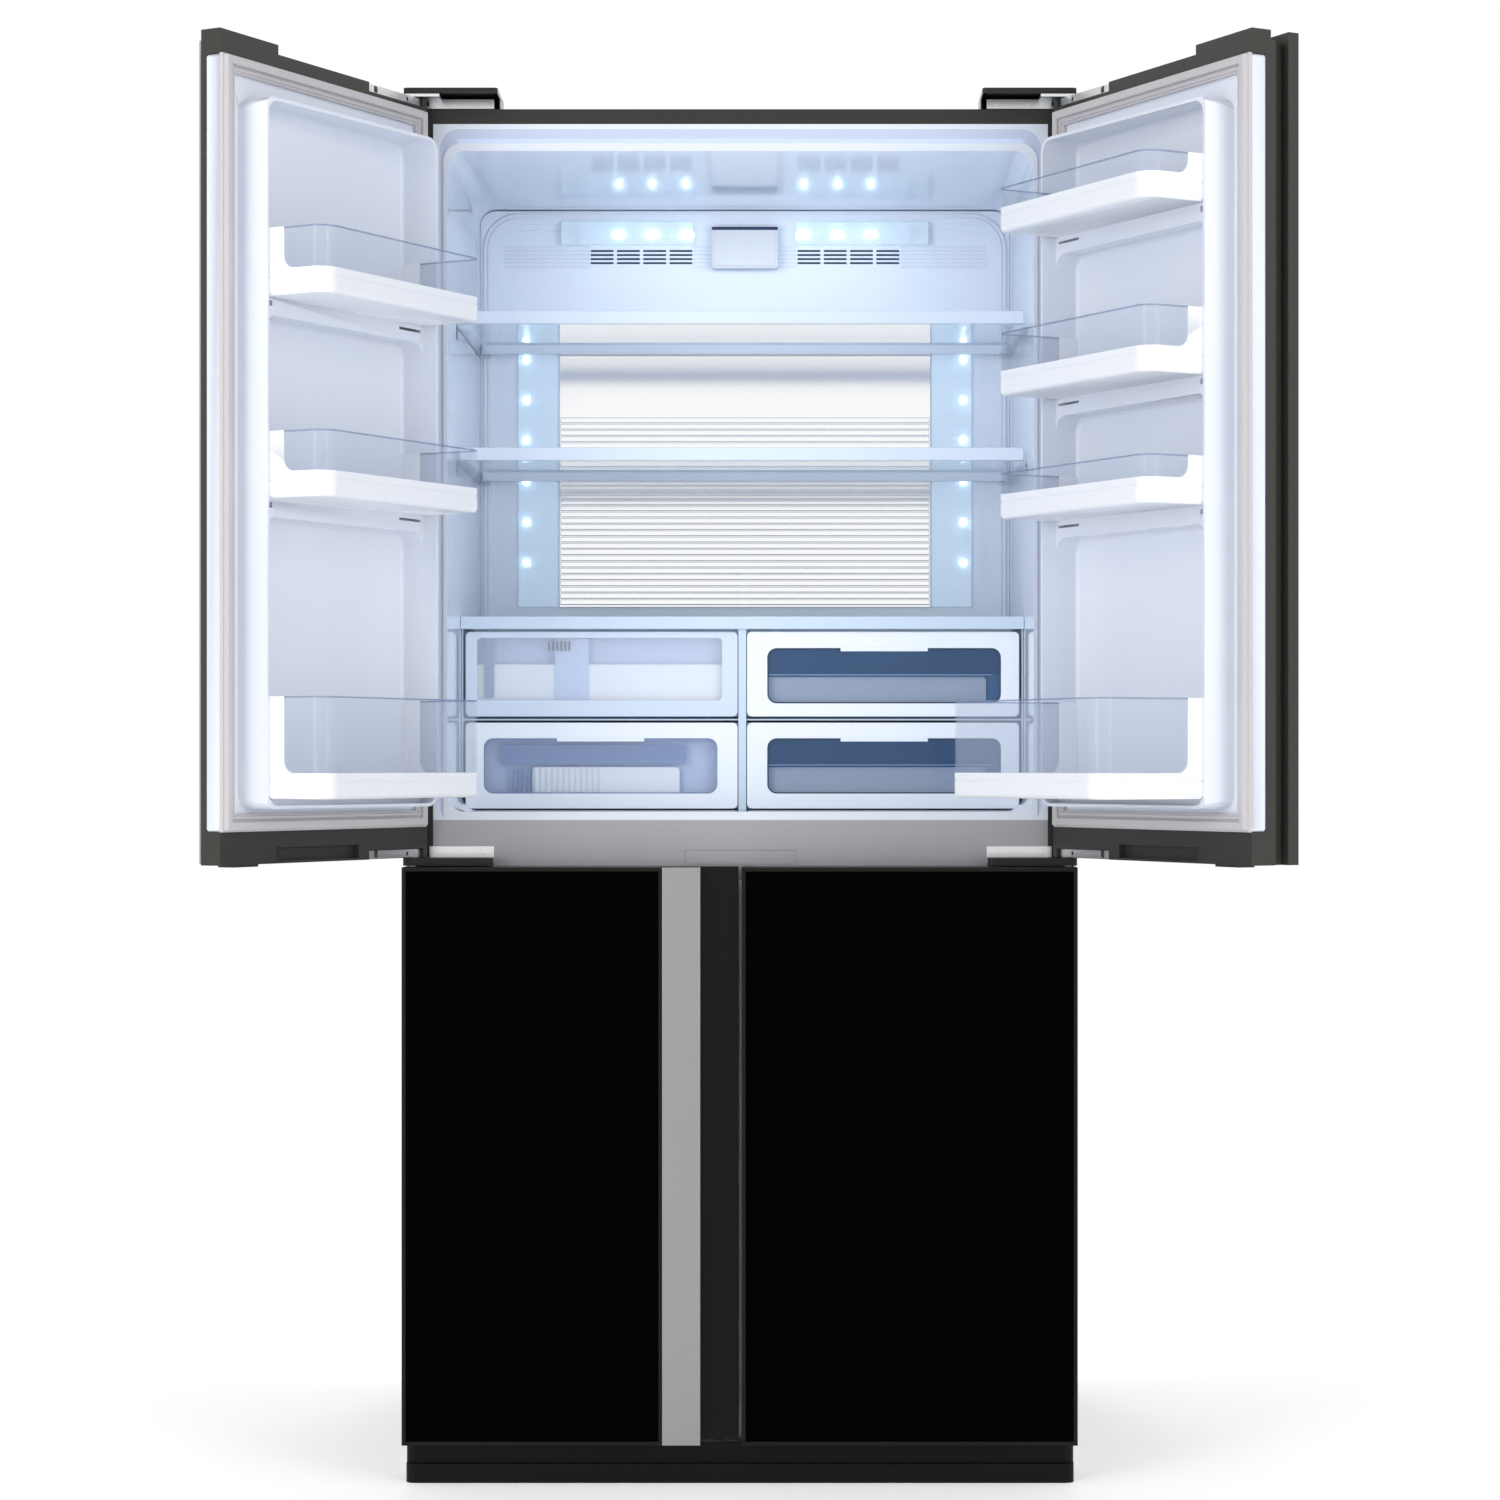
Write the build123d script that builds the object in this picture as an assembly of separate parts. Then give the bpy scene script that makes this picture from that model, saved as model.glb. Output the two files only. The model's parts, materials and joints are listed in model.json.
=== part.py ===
from build123d import *
from collections import namedtuple
import os

# Four-door refrigerator: two upper doors on the cooling compartment, two lower doors on the freezer.
# Millimetres. X runs to the right, Y to the rear, Z up. The origin is on the floor, on the centre
# line, below the front plane of the cabinet, where the door gaskets seat.
# The upper doors stand open and the lower doors are closed.

# Cabinet
cabinet_width = 892.0
cabinet_height = 1830.0
cabinet_depth = 683.0
case_sheet = 0.8
case_foot = 22.0
case_return = 34.0
top_strip = 20.0
side_wall = 53.0
ceiling_wall = 56.0
liner_wall = 2.0
cavity_radius = 24.0

# Clearances
fit_gap = 0.3
bearing_gap = 0.1
hinge_gap = 0.5

# Door levels
plinth_height = 52.0
plinth_gap = 3.0
door_split = 816.0
middle_gap = 12.0
door_rise = 8.0
lip_rise = 12.0
upper_cap_low = 40.8
upper_cap_high = 18.6
lower_cap_low = 33.0
lower_cap_high = 23.0

# Levels and depths of the compartments
base_top = 60.0
freezer_floor_wall = 62.0
freezer_ceiling_wall = 35.0
frame_below_split = 19.0
frame_above_door = 49.0
fridge_sill = 11.0
fridge_depth = 575.0
partition_half = 25.0
frame_cap_half = 75.0
frame_cap_height = 20.0
frame_cap_line = 0.8

# Machine room
machine_depth = 213.0
machine_top = 300.0
machine_wall = 50.0
machine_floor = 45.5
base_sheet = 1.5
cover_sheet = 1.2
cover_slots = 14
cover_slot_width = 150.0
cover_slot_height = 5.0
cover_slot_pitch = 13.0
cover_slot_low = 75.0
cover_slot_inner = 30.0

# Feet and rollers
foot_inset = 61.0
foot_y = 35.0
foot_pad_radius = 22.0
foot_pad_height = 10.0
stud_radius = 5.0
stud_end = 8.0
nut_radius = 12.0
roller_inset = 46.0
roller_setback = 63.0
roller_radius = 18.0
roller_width = 20.0
axle_radius = 4.0
ear_sheet = 3.0
ear_half = 14.0

# Plinth
plinth_front = 55.0
plinth_step = 7.0
plinth_step_level = 25.0
plinth_sheet = 3.0
plinth_radius = 12.0
plinth_inset = 3.0
plinth_return = 20.0
plinth_notch = 56.0
clip_half = 12.0
clip_spacing = 250.0

# Door section, measured forward from the front plane of the cabinet
door_thickness = 83.0
leaf_front_depth = 41.3
liner_edge = 20.0
gasket_thickness = 12.0
shell_wall = 2.5
glass_thickness = 4.0
glass_rim = 5.5
lip_depth = 15.5

# Door plan, measured from the centre line
door_half_gap = 2.5
door_side_inset = 1.0
gasket_half_gap = 1.5
gasket_side_inset = 13.0
gasket_width = 22.0
strip_start = 51.8
strip_width = 50.5
strip_sheet = 3.0
glass_strip_gap = 4.8
groove_depth = 15.0
groove_width = 19.5

# Details of the upper doors' caps
cap_block_length = 117.0
cap_block_depth = 29.0
stub_start = 32.0
stub_length = 49.0
stub_depth = 24.0
stub_height = 3.0
stub_inset = 2.0
notch_length = 124.0
notch_depth = 8.0
notch_height = 12.0
cap_recess_start = 115.0
cap_recess_length = 175.0
cap_recess_height = 17.0
cap_recess_depth = 10.0

# Door liners: the dyke rises to a narrow crest, which on the upper doors is higher at the hinge
upper_dyke_start = 38.0
upper_crest_start = 44.0
lower_dyke_start = 28.0
lower_crest_start = 62.0
dyke_clearance = 3.0
fridge_dyke_rise = 9.0
crest_width = 4.0
free_reach = 28.0
hinge_reach = 43.0
lower_reach = 12.0
dyke_radius = 20.0
recess_radius = 5.0
recess_depth = 12.0
ledge_height = 22.0
ledge_reach = 22.0

# Hinges
hinge_inset = 10.6
hinge_forward = 27.9
pin_radius = 6.0
pin_length = 14.5
pin_spare = 4.0
shoulder_radius = 9.0
hinge_plate = 3.0
hinge_arm = 4.0
arm_half = 36.0
arm_front = 13.0
middle_arm_rise = 3.5
middle_arm = 5.0
washer = 1.0
bracket_reach = 116.0
bracket_side_gap = 29.0
bracket_rise = 14.0
bracket_rear = 55.0
bottom_wall_height = 20.0
opening_angle = 118.6
screw_radius = 4.2
screw_head = 1.6
screw_inset = 15.0

# Hinge covers
cover_wall = 2.0
cover_rise = 20.0
cover_reach = 124.0
cover_rear = 62.0
cover_front = 45.0
cover_radius = 6.0
sleeve_reach = 116.0
sleeve_front = 44.0
sleeve_overhang = 2.0
sleeve_low_gap = 1.0
sleeve_high_gap = 0.6

# Shelves, tops measured down from the ceiling of the cooling compartment
shelf_front = 122.0
shelf_rear_gap = 10.0
shelf_side_gap = 5.0
shelf_drops = (198.0, 386.0)
shelf_glass = 4.0
shelf_bite = 4.0
trim_height = 17.5
front_trim_depth = 14.0
rear_trim_depth = 10.0
bracket_ledge = 12.0
bracket_height = 6.0
hook_height = 22.0
hook_depth = 24.0

# Rear panel of the cooling compartment, and what it carries
duct_depth = 83.0
duct_sheet = 3.0
duct_gap = 5.0
mirror_half = 274.8
mirror_rise = 297.0
mirror_drop = 165.0
mirror_sheet = 1.5
rib_pitch = 9.3
rib_height = 5.0
rib_depth = 1.5
plain_band = 144.0
column_gap = 2.2
column_width = 59.0
column_depth = 8.0
clear_wall = 1.5
lamp_inner = 76.0
lamp_width = 196.0
lamp_drop = 19.0
lamp_height = 34.0
lamp_depth = 18.0
vent_columns = 4
vent_rows = 4
vent_inner = 78.0
vent_column_pitch = 39.0
vent_width = 34.0
vent_drop = 80.0
vent_pitch = 6.0
vent_height = 3.0
ionizer_half = 48.7
ionizer_drop = 28.0
ionizer_height = 60.5
ionizer_depth = 22.0
ionizer_radius = 6.0

# Crispers, levels measured from the floor of the cooling compartment
crisper_front = 190.0
crisper_rear_gap = 14.0
crisper_side_gap = 6.5
pillar_half = 5.5
pillar_gap = 1.0
lower_crisper_low = 2.0
lower_crisper_high = 122.0
divider_low = 125.0
divider_sheet = 2.5
upper_crisper_low = 130.5
upper_crisper_high = 249.0
crisper_cover_low = 252.5
crisper_cover_high = 270.0
crisper_cover_front = 182.0
crisper_cover_rear_gap = 8.0
crisper_cover_side = 13.0
crisper_cover_edge = 14.0
cover_pane_bite = 6.0
crisper_panel = 3.0
crisper_wall = 2.5
frame_side = 2.7
runner_width = 3.0
runner_inset = 40.0
lower_crisper_radius = 18.0
upper_crisper_radius = 6.0
window_inner = 28.5
window_outer = 25.5
window_height = 71.0
lower_window_sill = 32.0
upper_window_sill = 22.5
window_depth = 1.0

# Door bins: each upper one has its drop below the compartment's ceiling and its full height
bin_wall = 2.5
bin_rim = 32.0
bin_corner = 24.0
bin_small_corner = 12.0
free_end_depth = 61.7
hinge_end_depth = 30.0
bin_reach = 113.0
deep_bin_reach = 183.0
upper_left_bins = ((248.0, 83.0), (496.0, 82.0))
upper_right_bins = ((132.0, 58.0), (344.0, 82.0), (504.0, 60.0))
lowest_bin_rise = 21.0
lowest_left_height = 126.0
lowest_right_height = 124.0
egg_tray_inset = 6.0
egg_tray_height = 22.0
egg_tray_wall = 1.5

# Freezer drawers: the upper two hang at drops from the ceiling, the lowest fills what is left
drawer_drops = (410.0, 200.0)
drawer_height = 186.0
lowest_drawer_rise = 8.0
drawer_stack_gap = 26.0
drawer_front = 34.0
drawer_wall = 2.5
drawer_gap = 4.0
rail_width = 10.0
rail_height = 6.0
grip_half = 52.0
grip_height = 26.0
grip_drop = 13.0

# Evaporator compartment
panel_step_gap = 20.0
panel_sheet = 3.0
panel_slots = 5
panel_slot_half = 120.0
panel_slot_height = 8.0
panel_slot_pitch = 22.0
fin_count = 16
fin_sheet = 1.0
tube_radius = 4.0
coil_inner_gap = 35.0
coil_outer_gap = 33.0
coil_panel_gap = 27.0
coil_depth = 70.0
coil_rear_gap = 50.0
coil_step_gap = 48.0
coil_fan_gap = 80.0
coil_rows = 4
end_sheet = 2.0
heater_radius = 6.0
heater_drop = 15.0
freezer_fan_drop = 72.0
freezer_fan_radius = 50.0
freezer_fan_gap = 23.0

# Fans
fan_blades = 5
fan_arms = 3
fan_hub = 14.0
hub_length = 16.0
fan_shaft = 3.0
blade_root = 11.0
blade_chord = 30.0
blade_sheet = 1.5
blade_pitch = 30.0
motor_radius = 16.0
motor_length = 26.0
motor_gap = 4.0
fan_opening_gap = 5.0
fan_mount_reach = 20.0
arm_sheet = 3.0
arm_width = 8.0

# Compressor, tray and condenser
compressor_side_gap = 211.0
compressor_setback = 108.0
compressor_radius = 78.0
compressor_height = 140.0
compressor_round = 25.0
compressor_plate = 3.0
plate_half_x = 95.0
plate_half_y = 70.0
grommet_radius = 9.0
grommet_height = 12.0
tray_half = 62.0
tray_height = 22.0
tray_wall = 2.0
condenser_inner = 60.0
condenser_outer = 260.0
condenser_depth = 120.0
condenser_setback = 48.0
condenser_high = 235.0
condenser_foot = 10.0
machine_fan_x = -75.0
machine_fan_level = 150.0
machine_fan_radius = 60.0

# Circuit boards
board_sheet = 1.6
chip_size = 3.0
chip_height = 0.8
column_chips = 14
lamp_chips = 3
board_margin = 12.0
control_side_gap = 26.0
control_width = 120.0
control_z0 = 90.0
control_z1 = 250.0
standoff_radius = 4.0
standoff_length = 8.0
control_margin = 15.0
transformer_size = 40.0
transformer_height = 30.0
connector_size = 14.0
connector_drop = 40.0
connector_height = 12.0
capacitor_radius = 9.0
capacitor_height = 26.0
capacitor_pitch = 22.0

# Worked out from the sizes above
half_width = cabinet_width / 2
cavity_half = half_width - side_wall
flange_edge = half_width - case_return
case_inner = half_width - case_sheet
frame_low = door_split - frame_below_split
upper_door_low = door_split + middle_gap
frame_high = upper_door_low + frame_above_door
fridge_floor = frame_high + fridge_sill
fridge_ceiling = cabinet_height - ceiling_wall
freezer_floor = base_top + freezer_floor_wall
freezer_ceiling = frame_low - freezer_ceiling_wall
machine_front = cabinet_depth - machine_depth
freezer_step_depth = machine_front - machine_wall
freezer_step_level = machine_top + machine_wall + liner_wall
flange_top = cabinet_height - top_strip
rear_skin = cabinet_depth - case_sheet
room_front = machine_front - base_sheet
room_rear = cabinet_depth - cover_sheet
foot_x = half_width - foot_inset
roller_x = half_width - roller_inset
roller_y = cabinet_depth - roller_setback
hinge_x = half_width - hinge_inset
door_end = half_width - door_side_inset
door_back = -gasket_thickness
door_front = -door_thickness
glass_back = door_front + glass_thickness
leaf_front = -leaf_front_depth
skirt_front = door_back - liner_edge
dyke_end = cavity_half - dyke_clearance
notch_start = door_end - notch_depth - notch_length
bracket_inner = half_width - bracket_reach
bracket_outer = half_width - bracket_side_gap
cover_inner = half_width - cover_reach
sleeve_inner = half_width - sleeve_reach
duct_front = fridge_depth - duct_depth
shelf_half = cavity_half - shelf_side_gap
shelf_rear = duct_front - shelf_rear_gap
shelf_levels = [fridge_ceiling - drop for drop in shelf_drops]
mirror_low = fridge_floor + mirror_rise
mirror_high = fridge_ceiling - mirror_drop
mirror_front = duct_front - mirror_sheet
rib_count = int((mirror_high - mirror_low - plain_band) / rib_pitch)
crisper_rear = duct_front - crisper_rear_gap
crisper_cover_rear = duct_front - crisper_cover_rear_gap
crisper_start = pillar_half + pillar_gap
crisper_end = cavity_half - crisper_side_gap
column_start = mirror_half + column_gap
bin_start = upper_crest_start + crest_width + fit_gap
bin_stop = dyke_end - crest_width - fit_gap
bin_back = fit_gap - recess_depth
lowest_bin = fridge_floor + lowest_bin_rise
left_bin_sizes = [(fridge_ceiling - drop, height, bin_reach) for drop, height in upper_left_bins]
left_bin_sizes.append((lowest_bin, lowest_left_height, bin_reach))
right_bin_sizes = [(fridge_ceiling - drop, height, bin_reach) for drop, height in upper_right_bins]
right_bin_sizes.append((lowest_bin, lowest_right_height, deep_bin_reach))
lowest_drawer = freezer_floor + lowest_drawer_rise
drawer_lows = [lowest_drawer, *[freezer_ceiling - drop for drop in drawer_drops]]
lowest_drawer_height = drawer_lows[1] - drawer_stack_gap - lowest_drawer
drawer_heights = (lowest_drawer_height, drawer_height, drawer_height)
panel_front = freezer_step_depth + panel_step_gap
freezer_fan_x = (partition_half + cavity_half) / 2
freezer_fan_y = panel_front + panel_sheet + freezer_fan_gap
freezer_fan_level = freezer_ceiling - freezer_fan_drop
coil_inner = partition_half + coil_inner_gap
coil_outer = cavity_half - coil_outer_gap
coil_front = panel_front + panel_sheet + coil_panel_gap
coil_rear = coil_front + coil_depth
coil_low = freezer_step_level + coil_step_gap
coil_high = freezer_fan_level - coil_fan_gap
freezer_depth = coil_rear + coil_rear_gap
compressor_x = compressor_side_gap - half_width
compressor_y = cabinet_depth - compressor_setback
condenser_rear = cabinet_depth - condenser_setback
condenser_front = condenser_rear - condenser_depth
control_x1 = half_width - control_side_gap
control_x0 = control_x1 - control_width

Door = namedtuple("Door", "low high lip seal_low seal_high dyke_low dyke_high dyke_start crest_start reach")
upper_door = Door(
    low=upper_door_low,
    high=cabinet_height + door_rise,
    lip=cabinet_height + door_rise + lip_rise,
    seal_low=upper_door_low + upper_cap_low,
    seal_high=cabinet_height + door_rise - upper_cap_high,
    dyke_low=fridge_floor + fridge_dyke_rise,
    dyke_high=fridge_ceiling - dyke_clearance,
    dyke_start=upper_dyke_start,
    crest_start=upper_crest_start,
    reach=(free_reach, hinge_reach),
)
lower_door = Door(
    low=plinth_height + plinth_gap,
    high=door_split,
    lip=door_split,
    seal_low=plinth_height + plinth_gap + lower_cap_low,
    seal_high=door_split - lower_cap_high,
    dyke_low=freezer_floor + dyke_clearance,
    dyke_high=freezer_ceiling - dyke_clearance,
    dyke_start=lower_dyke_start,
    crest_start=lower_crest_start,
    reach=(lower_reach, lower_reach),
)


# Basic shapes

def block(x0, x1, y0, y1, z0, z1):
    centre = ((x0 + x1) / 2, (y0 + y1) / 2, (z0 + z1) / 2)
    return Pos(*centre) * Box(x1 - x0, y1 - y0, z1 - z0)


# A rounded rectangle seen from the front, running from y0 back to y1
def deep_prism(x0, x1, z0, z1, y0, y1, radius):
    plane = Plane(origin=((x0 + x1) / 2, y0, (z0 + z1) / 2), x_dir=(1, 0, 0), z_dir=(0, 1, 0))
    return extrude(plane * RectangleRounded(x1 - x0, z1 - z0, radius), y1 - y0)


# A rounded rectangle seen from above, running from z0 up to z1
def tall_prism(x0, x1, y0, y1, z0, z1, radius):
    plane = Plane(origin=((x0 + x1) / 2, (y0 + y1) / 2, z0), x_dir=(1, 0, 0), z_dir=(0, 0, 1))
    return extrude(plane * RectangleRounded(x1 - x0, y1 - y0, radius), z1 - z0)


def rod(start, direction, radius, length):
    return extrude(Plane(origin=start, z_dir=direction) * Circle(radius), length)


def mirrored(shape):
    return mirror(shape, about=Plane.YZ)


def both(shape):
    return [shape, mirrored(shape)]


# Turns a closed upper door's piece open about its hinge: side is 1 on the right and -1 on the left
def swung(shape, side):
    axis = Axis((side * hinge_x, -hinge_forward, 0), (0, 0, 1))
    return shape.rotate(axis, side * opening_angle)


def save(name, *pieces):
    solids = [solid for piece in pieces for solid in piece.solids()]
    export_step(Compound(children=solids), f"parts/{name}.step")


# Cabinet shell and liners

def outer_case():
    whole = block(-half_width, half_width, 0, cabinet_depth, case_foot, cabinet_height)
    roof = cabinet_height - case_sheet
    inside = block(-case_inner, case_inner, case_sheet, cabinet_depth, case_foot, roof)
    opening = block(-flange_edge, flange_edge, 0, case_sheet, case_foot, flange_top)
    return whole - inside - opening


def rear_panel():
    low = machine_top + base_sheet
    return block(-case_inner, case_inner, rear_skin, cabinet_depth, low, cabinet_height - case_sheet)


def fridge_pocket(grow, y0, y1):
    reach = cavity_half + grow
    radius = cavity_radius + grow
    return deep_prism(-reach, reach, fridge_floor - grow, fridge_ceiling + grow, y0, y1, radius)


# The right freezer pocket, shallower below the step over the machine room
def freezer_pocket(grow, y0):
    x0 = partition_half - grow
    x1 = cavity_half + grow
    top = freezer_ceiling + grow
    lower = block(x0, x1, y0, freezer_step_depth + grow, freezer_floor - grow, top)
    upper = block(x0, x1, y0, freezer_depth + grow, freezer_step_level - grow, top)
    return lower + upper


def fridge_liner():
    flange = block(-flange_edge, flange_edge, 0, liner_wall, frame_high, flange_top)
    shell = flange + fridge_pocket(liner_wall, liner_wall, fridge_depth + liner_wall)
    return shell - fridge_pocket(0, 0, fridge_depth)


# Two rails on the walls of the right freezer pocket that carry one drawer
def drawer_rails(low):
    reach = drawer_gap + rail_width
    y0 = drawer_front + drawer_gap
    y1 = freezer_step_depth - drawer_gap
    top = low - fit_gap
    inner = block(partition_half, partition_half + reach, y0, y1, top - rail_height, top)
    outer = block(cavity_half - reach, cavity_half, y0, y1, top - rail_height, top)
    return [inner, outer]


def freezer_liner():
    shell = block(-flange_edge, flange_edge, 0, liner_wall, base_top, frame_low)
    for pocket in both(freezer_pocket(liner_wall, liner_wall)):
        shell += pocket
    for pocket in both(freezer_pocket(0, 0)):
        shell -= pocket
    return shell


def cabinet_foam():
    roof = cabinet_height - case_sheet
    foam = block(-case_inner, case_inner, case_sheet, rear_skin, base_top, roof)
    foam -= block(-flange_edge, flange_edge, 0, liner_wall, base_top, flange_top)
    foam -= block(-case_inner, case_inner, room_front, cabinet_depth, base_top, machine_top + base_sheet)
    foam -= fridge_pocket(liner_wall, 0, fridge_depth + liner_wall)
    for pocket in both(freezer_pocket(liner_wall, 0)):
        foam -= pocket
    return foam


# Cross frame between the compartments, with the fine outline of a small cap in its middle
def centre_frame():
    line = frame_cap_line
    half = frame_cap_half
    low = frame_low + frame_cap_height
    high = low + frame_cap_height
    sheet = block(-flange_edge, flange_edge, 0, liner_wall, frame_low, frame_high)
    outline = block(-half, half, 0, line, low, high)
    outline -= block(line - half, half - line, 0, line, low + line, high - line)
    return sheet - outline


# Base frame, feet, rollers and plinth

# Two ears and the fixed axle of the right rear roller
def roller_ears():
    half = roller_width / 2 + 2 * fit_gap
    low = roller_radius - 2 * axle_radius
    top = machine_floor - base_sheet
    inner = roller_x - half - ear_sheet
    outer = roller_x + half
    ears = rod((inner, roller_y, roller_radius), (1, 0, 0), axle_radius, outer + ear_sheet - inner)
    for x in (inner, outer):
        ears += block(x, x + ear_sheet, roller_y - ear_half, roller_y + ear_half, low, top)
    return ears


# Folded pan with side rails, and the floor, front wall and roof of the machine room welded to it
def base_frame():
    inner = case_inner - base_sheet
    frame = block(-case_inner, case_inner, liner_wall, room_rear, case_foot, base_top)
    frame -= block(-inner, inner, liner_wall + base_sheet, room_rear, case_foot, base_top - base_sheet)
    frame -= block(-inner, inner, room_front, room_rear, case_foot, base_top)
    floor = block(-inner, inner, room_front, room_rear, machine_floor - base_sheet, machine_floor)
    wall = block(-inner, inner, room_front, machine_front, machine_floor, base_top)
    wall += block(-case_inner, case_inner, room_front, machine_front, base_top, machine_top)
    roof_high = machine_top + base_sheet
    roof = block(-case_inner, case_inner, room_front, cabinet_depth, machine_top, roof_high)
    nut = rod((foot_x, foot_y, case_foot), (0, 0, 1), nut_radius, base_top - case_foot)
    bore_depth = base_top - case_foot - stud_end / 2
    bore = rod((foot_x, foot_y, case_foot), (0, 0, 1), stud_radius + bearing_gap, bore_depth)
    for piece in both(nut):
        frame += piece
    for piece in both(bore):
        frame -= piece
    return [frame, floor, wall, roof, *both(roller_ears())]


# Right levelling foot: a pad on a stud
def foot():
    pad = rod((foot_x, foot_y, 0), (0, 0, 1), foot_pad_radius, foot_pad_height)
    stud_top = base_top - stud_end
    return pad + rod((foot_x, foot_y, foot_pad_height), (0, 0, 1), stud_radius, stud_top - foot_pad_height)


def roller():
    start = (roller_x - roller_width / 2, roller_y, roller_radius)
    wheel = rod(start, (1, 0, 0), roller_radius, roller_width)
    return wheel - rod(start, (1, 0, 0), axle_radius + bearing_gap, roller_width)


# One band of the plinth: a rounded front with returns that run back to rear
def plinth_band(front, rear, low, high, wall):
    edge = half_width - plinth_inset
    over = plinth_radius + rear
    outside = tall_prism(-edge, edge, -front, over, low, high, plinth_radius)
    inside = tall_prism(wall - edge, edge - wall, wall - front, over, low, high, plinth_radius - plinth_sheet)
    return outside - inside - block(-edge, edge, rear, over, low, high)


def plinth():
    set_back = plinth_front - plinth_step
    return_top = case_foot - fit_gap
    strip = plinth_band(plinth_front, plinth_return, 0, return_top, plinth_sheet)
    strip += plinth_band(plinth_front, 0, return_top, plinth_step_level, plinth_step + plinth_sheet)
    strip += plinth_band(set_back, 0, plinth_step_level, plinth_height, plinth_sheet)
    notch_low = lower_door.low - washer - hinge_plate - fit_gap
    notch = block(half_width - plinth_notch, half_width, -plinth_front, 0, notch_low, plinth_height)
    for piece in both(notch):
        strip -= piece
    clip_low = plinth_step_level + plinth_sheet
    for x in (-clip_spacing, 0, clip_spacing):
        strip += block(x - clip_half, x + clip_half, -set_back, liner_wall, clip_low, clip_low + plinth_sheet)
    return strip


# Hinges of the right side

# A pin on the hinge axis: up for a positive length, down for a negative one
def pin_at(level, length, radius=pin_radius):
    direction = (0, 0, 1 if length > 0 else -1)
    return rod((hinge_x, -hinge_forward, level), direction, radius, abs(length))


# Bracket bolted on the cabinet's top, with an arm that reaches over the door
def top_hinge():
    arm_low = upper_door.high + hinge_gap
    arm_high = arm_low + hinge_arm
    seat = cabinet_height + hinge_plate
    front = cover_wall - cover_front
    plate = block(bracket_inner, half_width - hinge_arm, -hinge_plate, bracket_rear, cabinet_height, seat)
    riser = block(bracket_inner, bracket_outer, -hinge_plate, 0, cabinet_height, arm_high)
    arm = block(hinge_x - arm_half, door_end, front, 0, arm_low, arm_high)
    hinge = plate + riser + arm + pin_at(arm_low, -pin_length)
    level = cabinet_height + bracket_rise / 2
    for x in (bracket_inner + screw_inset, bracket_outer - 2 * screw_inset):
        hinge += rod((x, bracket_rear / 2, seat), (0, 0, 1), screw_radius, 2 * screw_head)
        hinge += rod((x, -hinge_plate, level), (0, -1, 0), screw_radius, screw_head)
    return hinge


# Plate screwed on the cabinet's front, with an arm that carries both doors of its side
def middle_hinge():
    arm_low = door_split + middle_arm_rise
    arm_high = arm_low + middle_arm
    high = upper_door.low + bracket_rise
    plate = block(bracket_inner, bracket_outer, -hinge_plate, 0, arm_low, high)
    arm = block(hinge_x - arm_half, half_width, -hinge_forward - arm_front, -hinge_plate, arm_low, arm_high)
    hinge = plate + arm + pin_at(arm_high, upper_door.low - arm_high - fit_gap, shoulder_radius)
    hinge += pin_at(arm_high, upper_door.low - arm_high + pin_length)
    hinge += pin_at(arm_low, -middle_arm_rise - pin_length)
    for x in (bracket_inner + screw_inset, bracket_outer - screw_inset):
        hinge += rod((x, -hinge_plate, high - bracket_rise / 2), (0, -1, 0), screw_radius, screw_head)
    return hinge


# Angle bracket on the front return of the case that carries the lower door
def bottom_hinge():
    high = lower_door.low - washer
    low = high - hinge_plate
    x0 = hinge_x - arm_half
    x1 = half_width - plinth_inset
    arm = block(x0, x1, -hinge_forward - arm_front, 0, low, high)
    wall = block(x0, x1 - plinth_sheet - washer, -hinge_plate, 0, low - bottom_wall_height, low)
    collar = pin_at(high, washer - fit_gap, shoulder_radius)
    return arm + wall + collar + pin_at(high, washer + pin_length)


# Black cap over the top hinge: a deep box on the cabinet and a thin hood over the door
def top_hinge_cover():
    top = cabinet_height + cover_rise
    hood = upper_door.high + hinge_arm + 2 * hinge_gap
    x1 = door_end + cover_wall
    wall = cover_wall
    cover = tall_prism(cover_inner, x1, -cover_front, cover_rear, cabinet_height, top, cover_radius)
    cover -= block(cover_inner, x1, -cover_front, liner_wall, cabinet_height, hood)
    return cover - block(
        cover_inner + wall, x1 - wall, wall - cover_front, cover_rear - wall, cabinet_height, top - wall
    )


# Black sleeve round the arm of the middle hinge
def middle_hinge_cover():
    low = door_split + sleeve_low_gap
    high = upper_door.low - sleeve_high_gap
    arm_low = door_split + middle_arm_rise - bearing_gap
    arm_high = arm_low + middle_arm + 2 * bearing_gap
    rear = -hinge_plate - fit_gap
    wall = cover_wall
    inner = hinge_x - arm_half - fit_gap
    x1 = half_width + sleeve_overhang
    sleeve = tall_prism(sleeve_inner, x1, -sleeve_front, rear, low, high, cover_radius)
    slot = block(inner, half_width + fit_gap, wall - sleeve_front, rear, arm_low, arm_high)
    hollow = block(sleeve_inner + wall, inner - wall, wall - sleeve_front, rear, low + wall, high - wall)
    hole = rod((hinge_x, -hinge_forward, low), (0, 0, 1), shoulder_radius + fit_gap, high - low)
    return sleeve - slot - hollow - hole


# Doors, drawn closed on the right side

# What only the upper doors have on their caps: a lip, a raised block and a small stub below
def upper_cap_pieces(door, outer_start):
    front = block(outer_start, door_end, door_front, door_front + lip_depth, door.high, door.lip)
    raised_end = door_half_gap + cap_block_length
    raised = block(door_half_gap, raised_end, door_back - cap_block_depth, door_back, door.high, door.lip)
    stub_end = stub_start + stub_length
    stub_back = door_back - stub_inset
    stub = block(stub_start, stub_end, stub_back - stub_depth, stub_back, door.low - stub_height, door.low)
    return front + raised + stub


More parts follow.
